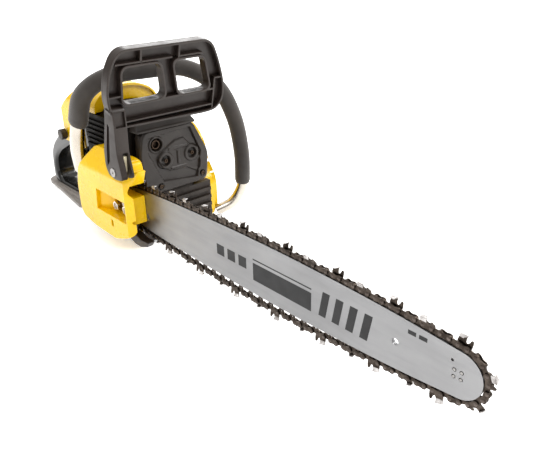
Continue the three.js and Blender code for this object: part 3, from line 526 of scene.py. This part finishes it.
def chain_line():
    """The rivet line: round the drive sprocket, along the upper rail, round the nose and back, slack."""
    points = []

    def arc(centre, teeth, start, end):
        radius = PITCH / (2 * math.sin(math.pi / (2 * teeth)))
        for i in range(7):
            angle = math.radians(start + (end - start) * i / 6)
            points.append((centre + radius * math.cos(angle), radius * math.sin(angle)))

    runs = [90, 160, 250, 340, 430, 505]
    arc(0, SPROCKET_TEETH, 180, 95)
    points.extend((x, bar_half_width(x) + RIVET_RISE) for x in runs)
    arc(NOSE_X, NOSE_TEETH, 85, -85)
    for x in reversed(runs):
        sag = CHAIN_SAG * math.sin(math.pi * x / NOSE_X) ** 2
        points.append((x, -bar_half_width(x) - RIVET_RISE - sag))
    arc(0, SPROCKET_TEETH, -95, -166)
    return through(points, closed=True, steps=24)


def rivet_places():
    """The rivets' places, evenly spaced along the rivet line; links span from each to the next."""
    line = chain_line()
    lengths = [0]
    for i, point in enumerate(line):
        lengths.append(lengths[-1] + (line[(i + 1) % len(line)] - point).length)
    places = []
    segment = 0
    for rivet in range(2 * DRIVE_LINKS):
        wanted = lengths[-1] * (rivet + 0.5) / (2 * DRIVE_LINKS)
        while lengths[segment + 1] < wanted:
            segment += 1
        share = (wanted - lengths[segment]) / (lengths[segment + 1] - lengths[segment])
        places.append(line[segment].lerp(line[(segment + 1) % len(line)], share))
    return places


def on_link(shape, back, front):
    """Places a link drawn as (along, outward, across) so that it spans two rivets."""
    middle = (back + front) / 2
    along = (front - back).normalized()
    outward = Vector((-along.y, along.x))

    def at(point):
        spot = middle + along * point[0] + outward * point[1]
        return (spot.x, point[2], spot.y)

    return shape.moved(at)


DRIVE_HALF = 0.65
STRAP_INNER = 0.75
STRAP_OUTER = 2.0
CUTTER_SHOULDER = 2.6
CUTTER_FLARE = 0.3
STRAP = [(-6.5, 0), (-5.8, -2.4), (-3.6, -3.1), (0, -2.1), (3.6, -3.1), (5.8, -2.4),
         (6.5, 0), (5.8, 2.5), (3.6, 3.3), (0, 2.2), (-3.6, 3.3), (-5.8, 2.5)]


def drive_link():
    """The middle link, with its tang that runs in the bar's groove."""
    outline = [(-6.5, 0.2), (-5.8, -2.5), (-4.4, -3.4), (-2.7, -8.6), (-0.4, -10.4), (1.4, -9.2), (3.0, -5.4),
               (4.6, -3.5), (6.0, -2.4), (6.5, 0.2), (5.6, 2.6), (3.4, 2.9), (1.6, 1.3), (-1.6, 1.3),
               (-3.4, 2.9), (-5.6, 2.6)]
    return prism([rounded(outline, 1, 2), circle(-0.6, -4.6, 1.1, 8)], -DRIVE_HALF, DRIVE_HALF, 0.12, 1)


def tie_strap(side):
    """A plain side link, on the right for side -1 and on the left for 1."""
    low, high = sorted((side * STRAP_INNER, side * STRAP_OUTER))
    return prism([rounded(STRAP, 1, 2)], low, high, 0.15, 1)


def cutter(side):
    """A strap that rises into a depth gauge in front and a tooth behind, and the tooth's bright edges."""
    outline = [(-6.5, 0), (-5.8, -2.4), (-3.6, -3.1), (0, -2.1), (3.6, -3.1), (5.8, -2.4), (6.5, 0),
               (6.7, 3.4), (5.9, 6.6), (4.8, 7.4), (3.7, 7.0), (3.0, 4.4), (1.6, 3.0), (0.4, 3.6),
               (-0.2, 6.0), (-0.1, 8.4), (-6.4, 7.5), (-6.7, 3.4)]
    low, high = sorted((side * STRAP_INNER, side * STRAP_OUTER))

    def flared(point):
        along, out, across = point
        return (along, out, across + side * CUTTER_FLARE * max(0, out - CUTTER_SHOULDER))

    plate = prism([rounded(outline, 0.6, 2)], low, high, 0.15, 1).moved(flared)
    top = [(0.5, side * 4.0), (-2.0, side * -0.9), (-6.5, side * -0.4), (-6.8, side * 3.4)]
    roof = prism([rounded(top, 0.3, 1)], 0, 1.0, 0.15, 1)
    roof = roof.moved(lambda p: (p[0], p[2] + 7.9 + 0.13 * p[0], p[1]))
    flank = [(-6.6, 3.8), (-0.4, 4.2), (-0.2, 8.6), (-6.6, 7.8)]
    inner, outer = sorted((side * 1.8, side * 2.4))
    roof.add(prism([rounded(flank, 0.4, 1)], inner, outer, 0.15, 1).moved(flared))
    return plate, roof


def chain():
    """Drive links alternate with pairs of straps; every other pair has a cutter, left and right in turn."""
    places = rivet_places()
    drives, straps, edges, rivets = Shape(), Shape(), Shape(), Shape()
    link = drive_link()
    strap = {side: tie_strap(side) for side in (-1, 1)}
    tooth = {side: cutter(side) for side in (-1, 1)}
    head = facing_y(turned([(0.3, -2.55), (1.3, -2.4), (1.8, -2.0), (1.8, 2.0), (1.3, 2.4), (0.3, 2.55)], 12))
    for i, front in enumerate(places):
        back = places[i - 1]
        if i % 2 == 0:
            drives.add(on_link(link, back, front))
        else:
            cutting = 0 if i % 4 == 1 else (1 if i % 8 == 7 else -1)
            for side in (-1, 1):
                if side == cutting:
                    plate, roof = tooth[side]
                    straps.add(on_link(plate, back, front))
                    edges.add(on_link(roof, back, front))
                else:
                    straps.add(on_link(strap[side], back, front))
        rivets.add(head.moved(lambda p, at=front: (p[0] + at.x, p[1], p[2] + at.y)))
    place(mesh_object("chain_drive_links", drives, CHAIN_STEEL), "machine", "chain_steel", "saw_chain")
    place(mesh_object("chain_tie_straps", straps, CHAIN_STEEL), "machine", "chain_steel")
    place(mesh_object("chain_cutter_tops", edges, CUTTER_STEEL), "machine", "chain_steel")
    place(mesh_object("chain_rivets", rivets, RIVET_STEEL), "machine", "steel")


# ---------------------------------------------------------------- hand guard

PIVOT = (middle_of("guard_pivot").x, middle_of("guard_pivot").z)
LEAN = math.radians(13)
PANEL_BASE = (PIVOT[0] - 9.4, PIVOT[1] - 0.4)
GUARD_HEIGHT = (limits("hand_guard")[1].z - PANEL_BASE[1] - 2) / math.cos(LEAN)


def leaning(shape):
    """From the guard panel's own plane (across, up, thickness) to its leaning place."""

    def at(point):
        across, up, out = point
        return (PANEL_BASE[0] + out * math.cos(LEAN) + up * math.sin(LEAN), across,
                PANEL_BASE[1] + up * math.cos(LEAN) - out * math.sin(LEAN))

    return shape.moved(at)


def hand_guard():
    """The guard's leaning panel: a thin web with two windows, raised rims round them and cross ribs."""
    top = GUARD_HEIGHT
    outer = [(-33, 57), (102, 54), (119, 56), (129, 70), (127, 94), (115, 126), (100, top), (-30, top),
             (-42, top - 24), (-45, top - 56)]
    windows = [
        [(-22, 87), (36, 87), (27, top - 22), (-24, top - 22)],
        [(56, 87), (104, 87), (90, top - 22), (46, top - 22)],
    ]
    edge = rounded(outer, 15)
    holes = [rounded(ring, 10) for ring in windows]
    rims = [rounded(inset(ring, -3), 12) for ring in windows]
    guard = prism([edge, *holes], -7, -2, 1)
    guard.add(prism([edge, rounded(inset(outer, 3.2), 13)], -4, 6, 0.8))
    for hole, rim in zip(holes, rims):
        guard.add(prism([rim, hole], -4, 6, 0.8))
    inner_top = top - 16
    ribs = [
        box_ring(-1, 2, inner_top - 4, top - 1), box_ring(52, 55, inner_top - 4, top - 1),
        box_ring(110, 124, 99, 101.5), box_ring(110, 112.5, 58, 101),
        box_ring(-43, -22, 97, 99.5),
        box_ring(-16, 110, 84, 87), box_ring(-20, 112, 63, 65.5),
        box_ring(-33, 44, inner_top - 2.5, inner_top), box_ring(54, 88, inner_top - 2.5, inner_top),
    ]
    for rib in ribs:
        guard.add(prism([rib], -4, 5.2, 0.5))
    guard.add(prism([rounded([(-41, 80), (-22, 80), (-22, 83), (-42, 83)], 1)], -4, 5.2, 0.6))
    guard = leaning(guard)
    place(mesh_object("guard_frame", guard, BLACK), "guard", "black_plastic", "hand_guard")


def guard_arm():
    """The deep arm that carries the guard's panel, forked at its foot round the brake lever."""
    side = rounded([
        (86, 144), (82, 122), (71, 85), (70, 65), (76, 54), (92, 51), (109.5, 54), (107, 66), (102.5, 88),
        (105, 120), (104, 139), (96, 144),
    ], 5, 4)
    arm = mesh_object("guard_arm", facing_y(prism([side], -38.5, -20.8, 1.2)), BLACK)
    fork = facing_y(prism([box_ring(60, 120, 40, 86)], -30.6, -24, 0))
    room = facing_y(prism([box_ring(60, 80, 40, 86)], -30.6, -18, 0))
    recess = facing_y(prism([[(101, 118), (120, 118), (120, 136), (101.5, 136)]], -36.4, -23, 0))
    groove = facing_y(prism([[(76, 66), (84, 74), (92, 118), (89, 122), (80, 90)]], -42, -36.6, 0))
    carve(arm, fork, room, recess, groove, facing_y(prism([circle(*PIVOT, 4.3, 20)], -50, -10, 0)))
    place(arm, "guard", "black_plastic", edge=0.5)


def brake_lever():
    """The cream lever between the guard's two foot plates, drawn round the guard's pivot."""
    high = limits("brake_lever")[1]
    reach, tip = high.x - PIVOT[0], high.z - PIVOT[1] + 2
    outline = [(-5, 0), (-2, -6), (6, -6), (11, 2), (reach + 1, tip), (reach - 6, tip), (2, 6)]
    lever = prism([rounded([(PIVOT[0] + a, PIVOT[1] + b) for a, b in outline], 2)], -29.9, -24.4, 0.8)
    place(mesh_object("lever_body", facing_y(lever), CREAM), "brake_lever", "cream_plastic", "brake_lever")


# ---------------------------------------------------------------- front handle

HANDLE_LINE = [
    (-51, -15, 22), (-46, -19, 54), (-27, -22, 95), (-8, -17, 137), (14, 7, 159), (29, 58, 164),
    (42, 112, 160), (56, 152, 132), (64, 174, 86), (68, 183, 30), (67, 184, -18), (59, 170, -48),
    (47, 146, -60),
]
TUBE_RADIUS = 8.2
GRIP_RADIUS = 11.6


def handle_tube():
    """The bent tube, wider along the machine at its right foot, where it is flattened."""
    line = through(HANDLE_LINE)
    shape = tube(line, lambda share: TUBE_RADIUS, widen=lambda share: 1.85 - 0.85 * ease(share, 0.08, 0.3))
    place(mesh_object("handle_tube", shape, TUBE), "machine", "bare_aluminium", "front_handle")


def handle_grip():
    """The foam sleeve over the tube's middle, rounded off at both ends."""
    line = through(HANDLE_LINE[2:11])

    def radius(share):
        end = min(share, 1 - share) * 90
        return GRIP_RADIUS - (1.6 * (1 - end) ** 2 if end < 1 else 0)

    shape = tube(line, radius, 36, lambda share: 1.6 - 0.6 * ease(share, 0, 0.34))
    place(mesh_object("handle_grip", shape, FOAM), "machine", "grip_foam", "front_grip")


# ---------------------------------------------------------------- covers

COVER_REAR, COVER_FRONT = limits("clutch_cover")[0].x, limits("clutch_cover")[1].x
COVER_OUT = limits("clutch_cover")[0].y
COVER_FRONT_OUT = -15
COVER_FOLD = 93
COVER_BROW = 44
COVER_OUTLINE = [
    (COVER_REAR, -27), (-30, -37), (0, -43), (56, -45), (90, -33), (COVER_FRONT, -23), (COVER_FRONT, 22),
    (93, 29), (100, 45), (105, 59), (100, 57), (97, 69), (82, 71), (38, 67), (34, 73), (6, 73),
    (-12, 56), (-30, 36), (COVER_REAR, 10),
]


def cover_taper(inner):
    """Leans the cover's outer skin in ahead of the fold and above the brow; `inner` is its flat back."""

    def at(point):
        x, y, z = point
        share = min(1, max(0, (x - COVER_FOLD) / (COVER_FRONT - COVER_FOLD)))
        skin = COVER_OUT + (COVER_FRONT_OUT - COVER_OUT) * share
        skin += 0.45 * (1 - share) * max(0, z - COVER_BROW)
        return (x, inner + (y - inner) * (skin - inner) / (COVER_OUT - inner), z)

    return at


def folded(shape):
    """The shape with every face that crosses the clutch cover's fold or its brow split there."""
    work = bmesh.new()
    corners = [work.verts.new(point) for point in shape.points]
    for face in shape.faces:
        work.faces.new([corners[i] for i in face])
    for spot, normal in (((COVER_FOLD, 0, 0), (1, 0, 0)), ((0, 0, COVER_BROW), (0, 0, 1))):
        everything = [*work.verts, *work.edges, *work.faces]
        bmesh.ops.bisect_plane(work, geom=everything, dist=1e-4, plane_co=spot, plane_no=normal)
    split = Shape()
    work.verts.index_update()
    split.points = [tuple(vert.co) for vert in work.verts]
    split.faces = [[vert.index for vert in face.verts] for face in work.faces]
    work.free()
    return split


def nut_seat(floor_y):
    """What is cut away over the bar nuts: a slanted ramp down from behind to a flat floor."""
    outside = COVER_OUT - 4
    slope = [(16, outside), (16, -25), (36, -15), (37, floor_y), (91, floor_y), (91, outside)]
    seat = prism([slope], -12, 18, 0)
    return seat.moved(lambda p: (p[0] + 0.13 * p[2] * (1 - ease(p[0], 16, 60)), p[1], p[2]))


def clutch_cover():
    """A hollow shell with a sunk pocket for the bar nuts, and the plate that they press on."""
    inner = limits("clutch_cover")[1].y
    outside = COVER_OUT - 4
    taper = cover_taper(inner)
    shell = facing_y(prism([rounded(COVER_OUTLINE, 7, 5)], COVER_OUT, inner, 2.6, 4))
    cover = mesh_object("cover_shell", folded(shell).moved(taper), YELLOW)
    pocket = [(16, -12), (91, -12), (91, 18), (20, 17)]
    cavity = [(COVER_REAR + 3, -24), (0, -39), (52, -42), (COVER_FRONT + 4, -38), (COVER_FRONT + 4, 40),
              (84, 40), (80, 60), (4, 66), (-14, 46), (COVER_REAR + 3, 8)]
    hollow = facing_y(prism([cavity, inset(pocket, -3)], COVER_OUT + 3, inner + 3, 0))
    floor_y = limits("bar_nut_1")[1].y + 0.3
    holes = [facing_y(prism([circle(x, STUD_Z, 4.5, 20)], outside, 0, 0)) for x in STUD_X]
    holes.append(facing_y(prism([circle(*PIVOT, 4.4, 20)], outside, 0, 0)))
    holes.append(facing_y(prism([circle(99, -10, 2.8, 16)], outside, 0, 0)))
    holes.append(facing_y(prism([rounded(box_ring(50, 55.5, -27, -17), 2)], outside, -12, 0)))
    carve(cover, folded(hollow).moved(taper), nut_seat(floor_y), *holes)
    place(cover, "machine", "yellow_plastic", "clutch_cover", edge=0.5)
    edge = rounded(box_ring(37.5, 90.5, -11.5, 17.5), 2)
    stud_holes = [circle(x, STUD_Z, 4.2, 20) for x in STUD_X]
    plate = facing_y(prism([edge, *stud_holes], floor_y - 0.9, floor_y - 0.1, 0.2))
    place(mesh_object("cover_nut_plate", plate, BRONZED), "machine", "steel")


MUFFLER_FRONT = 66
MUFFLER_FACE = [(17, 14), (43, 4.5), (119, 5), (124, 45), (100, 93), (20, 93), (13, 62)]
FACE_CENTRE = (68, 49)
FACE_REACH = 52
SPOKE_SPACING = 0.9
SCREW_WELLS = [(52, 48), (95, 50)]
EXHAUST = (41, 72)


def outline_distance(ring, y, z):
    """Distance to a closed outline, negative inside it."""
    nearest = 1e9
    inside = False
    for i, (ay, az) in enumerate(ring):
        by, bz = ring[i - 1]
        dy, dz = by - ay, bz - az
        along = min(1, max(0, ((y - ay) * dy + (z - az) * dz) / (dy * dy + dz * dz)))
        nearest = min(nearest, math.hypot(y - ay - along * dy, z - az - along * dz))
        if (az > z) != (bz > z) and y < ay + (z - az) * dy / dz:
            inside = not inside
    return -nearest if inside else nearest


SUNK_PANEL = [(27, 84), (95, 87.5), (111, 50), (103, 12), (46, 19), (30, 54), (25, 64)]
RAISED_ISLAND = [(39, 52), (49, 61), (60, 68), (70, 73), (84, 74), (94, 63), (107, 56), (110, 28),
                 (102, 21), (86, 30), (60, 31), (47, 38)]


def muffler_relief(y, z):
    """How far the muffler cover's face stands out at a place, from its raised rim at 0."""
    panel = outline_distance(SUNK_PANEL, y, z)
    height = -3.6 * ease(-panel, 0, 1.8)
    island = outline_distance(RAISED_ISLAND, y, z)
    height += 2.2 * ease(-island, -0.6, 1.4)
    exhaust = math.hypot(y - EXHAUST[0], z - EXHAUST[1])
    height += 1.4 * (ease(exhaust, 8.4, 9.2) - ease(exhaust, 11, 12))
    height -= 9 * (1 - ease(exhaust, 7.4, 8.4))
    for well_y, well_z in SCREW_WELLS:
        reach = math.hypot(y - well_y, z - well_z)
        height += 1.8 * (1 - ease(reach, 11, 12.6)) * ease(-panel, 0, 2)
        height -= 4.6 * (1 - ease(reach, 6.2, 7.6))
    rib = max(abs(y - 73) - 1.6, abs(z - 48.5) - 9)
    height += 1.6 * (1 - ease(rib, -0.5, 1))
    for z_low, z_high, y_low, y_high in ((60.5, 64, 58, 88), (33.5, 36, 60, 86)):
        band = max(z_low - z, z - z_high, y_low - y, y - y_high)
        height += 1.4 * (1 - ease(band, -0.8, 0.8))
    for screw_y, screw_z in ((111, 16), (41, 13.5)):
        height -= 1.6 * (1 - ease(math.hypot(y - screw_y, z - screw_z), 4, 5))
    return height


def muffler_spokes():
    """Places round the muffler face's edge, about a millimetre apart."""
    edge = rounded(MUFFLER_FACE, 9, 8)
    spokes = []
    for i, corner in enumerate(edge):
        following = edge[(i + 1) % len(edge)]
        steps = max(1, round((following - corner).length / SPOKE_SPACING))
        spokes.extend(corner.lerp(following, step / steps) for step in range(steps))
    return spokes


def muffler_face(rings=74):
    """The embossed face, as rings that shrink to its middle, with a short skirt behind its rim."""
    spokes = muffler_spokes()
    count = len(spokes)
    centre = Vector(FACE_CENTRE)
    face = Shape()
    for ring in range(rings + 1):
        share = 1 - ring / rings
        lip = 1.6 * (1 - ease((1 - share) * FACE_REACH, 0, 2.4))
        for spoke in spokes:
            spot = centre.lerp(spoke, share)
            face.points.append((MUFFLER_FRONT + muffler_relief(*spot) - lip, spot.x, spot.y))
    for ring in range(rings):
        for i in range(count):
            a, b = ring * count + i, ring * count + (i + 1) % count
            face.faces.append([a, b, b + count, a + count])
    skirt = len(face.points)
    face.points.extend((MUFFLER_FRONT - 8.5, spoke.x, spoke.y) for spoke in spokes)
    for i in range(count):
        following = (i + 1) % count
        face.faces.append([skirt + i, skirt + following, following, i])
    return face


def muffler_cover():
    """The heat shield's embossed face with a frame behind it, and the roof that slopes down to it."""
    frame_outer = rounded([(14, 16), (120, 10), (121, 46), (104, 92), (18, 92)], 9)
    frame_inner = rounded([(18, 20), (115, 14), (116, 45), (100, 88), (22, 88)], 8)
    shield = muffler_face().add(facing_x(prism([frame_outer, frame_inner], 50, 60, 1)))
    place(mesh_object("muffler_front", shield, SHIELD), "machine", "black_heat_shield", "muffler_cover")
    roof_front = MUFFLER_FRONT + 0.5
    roof_side = [(40, 108.5), (54, 108), (roof_front, 95.5), (roof_front, 92), (40, 92)]
    roof = facing_y(prism([rounded(roof_side, 8, 8)], 12, 104, 1.6))
    roof = roof.moved(lambda p: (p[0], 61 + (p[1] - 61) * (1 - 0.12 * ease(p[2], 92, 108)), p[2]))
    place(mesh_object("muffler_roof", roof, SHIELD), "machine", "gloss_black_plastic")


def soft_min(a, b, blend=5):
    """The smaller of two heights, with a round transition between them."""
    return -blend * math.log(math.exp(-a / blend) + math.exp(-b / blend)) + 0.2 * blend


def cover_section(x, skin):
    """The top cover's skin across the machine at x, from its right foot over the crown to its left foot."""
    low, high = limits("top_cover")
    right, left = low.y + skin, high.y - skin
    shoulder, peak = 108, 147 - 1.6 * skin
    slope = (124 if x > -100 else 124 + (x + 100) * 1.02) + 0.62 * max(0, x + 100) - skin * 1.4
    foot = 46 if x < -66 else 104.4
    left_foot = 80 if x < -66 else 104.4
    section = [(right, foot + (shoulder - foot) * i / 6) for i in range(6)]
    corners = [Vector(spot) for spot in
               ((right, shoulder), (right + 2, peak), (left - 5, peak + 2), (left, shoulder))]
    for i in range(25):
        t = i / 24
        weights = ((1 - t) ** 3, 3 * t * (1 - t) ** 2, 3 * t * t * (1 - t), t ** 3)
        section.append(tuple(sum((w * c for w, c in zip(weights, corners)), Vector((0, 0)))))
    section.extend((left, shoulder + (left_foot - shoulder) * i / 4) for i in range(1, 5))
    return [(y, max(min(foot, left_foot) if z < shoulder else 0, soft_min(z, slope))) for y, z in section]


def top_cover():
    """Yellow shell over the air filter: an arch whose rear falls away, with a deep skirt on the right."""
    low, high = limits("top_cover")
    stations = [low.x + (high.x - low.x) * i / 53 for i in range(54)]
    shape = Shape()
    for skin in (0, 2.5):
        for x in stations:
            shape.points.extend((x, y, z) for y, z in cover_section(x, skin))
    row = len(cover_section(low.x, 0))
    layer = row * len(stations)
    for i in range(len(stations) - 1):
        for j in range(row - 1):
            a = i * row + j
            shape.faces.append([a, a + 1, a + row + 1, a + row])
            shape.faces.append([layer + a, layer + a + row, layer + a + row + 1, layer + a + 1])
        for a in (i * row, i * row + row - 1):
            shape.faces.append([a, a + row, layer + a + row, layer + a])
    for j in range(row - 1):
        for a in (j, layer - row + j):
            shape.faces.append([a, layer + a, layer + a + 1, a + 1])
    rear = cover_section(low.x, 0.4)
    wall = [*rear, (30, 80), (30, 46)]
    shape.add(facing_x(prism([wall], low.x, low.x + 2.6, 0)))
    front = cover_section(high.x - 5, 2.2)
    shape.add(facing_x(prism([front], high.x - 6, high.x - 4, 0)))
    place(mesh_object("filter_cover", shape, YELLOW), "machine", "yellow_plastic", "top_cover")


# ---------------------------------------------------------------- rear handle

def rear_handle():
    """The loop that the right hand holds, with slots for the trigger, the lockout and the stop switch."""
    loop = rounded([
        (-76, -62), (-150, -69), (-264, -69), (-276, -60), (-275, -30), (-270, -8), (-256, 10), (-230, 29),
        (-134, 76), (-108, 76), (-92, 60), (-90, 34), (-76, 20),
    ], 14)
    hand_hole = rounded([
        (-140, -60), (-250, -60), (-259, -46), (-255, -22), (-234, -4), (-172, 26), (-146, 24), (-136, 6),
    ], 12)
    handle = mesh_object("handle_body", facing_y(prism([loop, hand_hole], 33, 69, 7, 5)), GLOSS)
    slots = [((-176, -142), (6, 48)), ((-222, -176), (28, 80)), ((-153, -131), (66, 90))]
    tools = [facing_y(prism([box_ring(*x, *z)], 43.5, 58.5, 0)) for x, z in slots]
    carve(handle, *tools)
    place(handle, "machine", "gloss_black_plastic", "rear_handle")


def fuel_tank():
    """The tank in front of the loop, with recesses for the fuel cap and the primer."""
    tank_side = rounded([(-75.5, -64), (-134, -66), (-134, 20), (-118, 34), (-92, 34), (-75.5, 20)], 10)
    tank = mesh_object("fuel_tank", facing_y(prism([tank_side], 12, 96, 5, 4)), GLOSS)
    carve(tank, facing_y(prism([circle(-105, -30, 11, 32)], 80, 110, 0)),
          facing_y(prism([circle(-105, 8, 9.8, 32)], 92.5, 110, 0)))
    place(tank, "machine", "gloss_black_plastic")


def toe_plate():
    """The plate under the loop that a boot holds down, with ribs along its top."""
    toe = rounded([(-130, 8), (-130, 92), (-290, 92), (-304, 64), (-287, 28)], 10)
    plate = prism([toe], -70, -64, 1.5, 3)
    for i in range(9):
        y = 20 + 8 * i
        plate.add(prism([box_ring(-284 + 0.64 * abs(y - 56), -140, y, y + 2)], -64.5, -63, 0.4))
    # The toe plate is black plastic; its lighter colour is painted sheen and painted floor reflection.
    place(mesh_object("toe_plate", plate, PAINTED_SHEEN_PLASTIC), "machine", "gloss_black_plastic")


# ---------------------------------------------------------------- CAD nodes that stay

ROPE_RADIUS = 1.5


def starter_rope():
    """The rope, from the pulley to the grip."""
    line = [(-17, 135.5, 20.5), (-18, 135.5, 40), (-18, 135, 62), (-19.5, 135, 88), (-20.5, 135, 95)]
    rope = mesh_object("pull_rope", tube(through(line, steps=14), lambda share: ROPE_RADIUS, 12), ROPE)
    rope.data.shade_smooth()
    in_row((-18, 135, 70))
    in_row((-20.5, 135, 90))
    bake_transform(rope)
    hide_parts("starter_rope")


FINISHES = {
    YELLOW: ["starter_housing"],
    # The engine shroud's darker plastic is painted shade.
    PAINTED_SHADE_SHROUD: ["engine_shroud"],
    BLACK: ["cover_knob", "starter_pulley", "oil_cap", "fuel_cap", "chain_catcher",
            "throttle_trigger", "throttle_lockout", "choke_lever", "ignition_coil"],
    CASTING: ["crankcase"],
    RUBBER: ["intake_boot", "starter_grip"],
    FELT: ["air_filter"],
    RED: ["stop_switch", "primer_bulb"],
    BAR_STEEL: ["bar_core"],
    BRIGHT: ["bar_nut_1", "bar_nut_2", "sprocket_clip", "flywheel_nut"],
    STEEL: ["nose_sprocket", "nose_bearing", "crankshaft", "connecting_rod", "spark_plug", "clutch_hub",
            "clutch_drum", "brake_band", "starter_spring", "bar_stud_1", "bar_stud_2", "guard_pivot",
            "trigger_pin", "lockout_pin"],
    DARK_STEEL: ["muffler", "muffler_screw_1", "muffler_screw_2", "muffler_screw_3", "muffler_screw_4"],
    CAST_METAL: ["piston", "cylinder", "flywheel", "oil_pump", "carburettor"],
    BRASS: ["throttle_butterfly", "choke_butterfly"],
}
EDGES = {"starter_housing": 2.0, "starter_grip": 2.0, "chain_catcher": 1.5, "throttle_trigger": 1.5,
         "engine_shroud": 1.2, "crankcase": 1.2, "throttle_lockout": 1.2, "oil_cap": 1.0, "fuel_cap": 1.0,
         "cover_knob": 1.0}


def dress(name, material):
    """Gives a CAD node that stays its finish, rounder edges and smooth shading."""
    node = frame["nodes"][name]
    node.data.materials.clear()
    node.data.materials.append(material)
    weld = node.modifiers.new("weld", "WELD")
    weld.merge_threshold = 0.01 * MM
    soften(node, EDGES.get(name, 0.4))
    node.data.shade_smooth()
    normals = node.modifiers.new("normals", "WEIGHTED_NORMAL")
    normals.keep_sharp = False


def dress_all():
    """Dresses every CAD node that has no piece of its own."""
    for material, names in FINISHES.items():
        for name in names:
            dress(name, material)


# ---------------------------------------------------------------- studio

def floor():
    """A plain pale floor just under the machine."""
    material, tree, shader = blank("studio_floor")
    tone = spread(tree, noise(tree, 3, 2), 0, 1)
    tree.links.new(blended(tree, tone, (0.92, 0.92, 0.92), (0.95, 0.95, 0.95)), shader.inputs["Base Color"])
    shader.inputs["Roughness"].default_value = 0.9
    shader.inputs["Emission Color"].default_value = (1, 1, 1, 1)
    shader.inputs["Emission Strength"].default_value = 0.35
    bpy.ops.mesh.primitive_plane_add(size=30, location=(0, 0, cad_low.z - 0.0005))
    ground = bpy.context.object
    ground.name = "studio_floor"
    ground.data.materials.append(material)


def softbox(name, place_at, size, power):
    """A square lamp aimed at the machine."""
    light = bpy.data.lights.new(name, "AREA")
    light.size = size
    light.energy = power
    lamp = bpy.data.objects.new(name, light)
    bpy.context.scene.collection.objects.link(lamp)
    lamp.location = place_at
    lamp.rotation_mode = "QUATERNION"
    lamp.rotation_quaternion = (-Vector(place_at)).to_track_quat("-Z", "Y")


def sky():
    """Pale all round, brightest overhead, so that dark gloss keeps some contrast; white to the camera."""
    world = bpy.data.worlds.new("studio")
    world.use_nodes = True
    tree = world.node_tree
    background = tree.nodes["Background"]
    where = tree.nodes.new("ShaderNodeTexCoord")
    split = tree.nodes.new("ShaderNodeSeparateXYZ")
    tree.links.new(where.outputs["Generated"], split.inputs["Vector"])
    level = spread(tree, split.outputs["Z"], 0.26, 1.2, 0.0, 0.85)
    rays = tree.nodes.new("ShaderNodeLightPath")
    seen = tree.nodes.new("ShaderNodeMath")
    seen.operation = "MAXIMUM"
    tree.links.new(level, seen.inputs[0])
    tree.links.new(rays.outputs["Is Camera Ray"], seen.inputs[1])
    tree.links.new(seen.outputs["Value"], background.inputs["Strength"])
    background.inputs["Color"].default_value = (1, 0.99, 0.975, 1)
    bpy.context.scene.world = world


def studio():
    """Three soft lamps under the pale sky, and the view's tone curve."""
    sky()
    softbox("key", (0.9, -0.7, 1.7), 0.9, 6)
    softbox("rim", (-1.2, 1.15, 1.0), 1.0, 14)
    softbox("front", (1.1, 1.3, 1.3), 0.8, 16)
    bpy.context.scene.view_settings.view_transform = "Standard"
    bpy.context.scene.view_settings.look = "Medium High Contrast"


def camera():
    """Stands in front and to the right of the machine, looking down at it."""
    turn, drop, roll = math.radians(42.79), math.radians(25.09), math.radians(-0.77)
    ahead = Vector((-math.cos(turn) * math.cos(drop), math.sin(turn) * math.cos(drop), -math.sin(drop)))
    data = bpy.data.cameras.new("camera")
    data.lens = 39.5
    data.sensor_width = 36
    view = bpy.data.objects.new("camera", data)
    bpy.context.scene.collection.objects.link(view)
    view.location = in_row((735, -368.1, 313.4))
    look = ahead.to_track_quat("-Z", "Y").to_matrix().to_4x4() @ Matrix.Rotation(roll, 4, "Z")
    view.rotation_mode = "QUATERNION"
    view.rotation_quaternion = look.to_quaternion()
    bpy.context.scene.camera = view


bar_plates()
bar_marks()
chain()
hand_guard()
guard_arm()
brake_lever()
handle_tube()
handle_grip()
clutch_cover()
muffler_cover()
top_cover()
rear_handle()
fuel_tank()
toe_plate()
starter_rope()
dress_all()
floor()
studio()
camera()
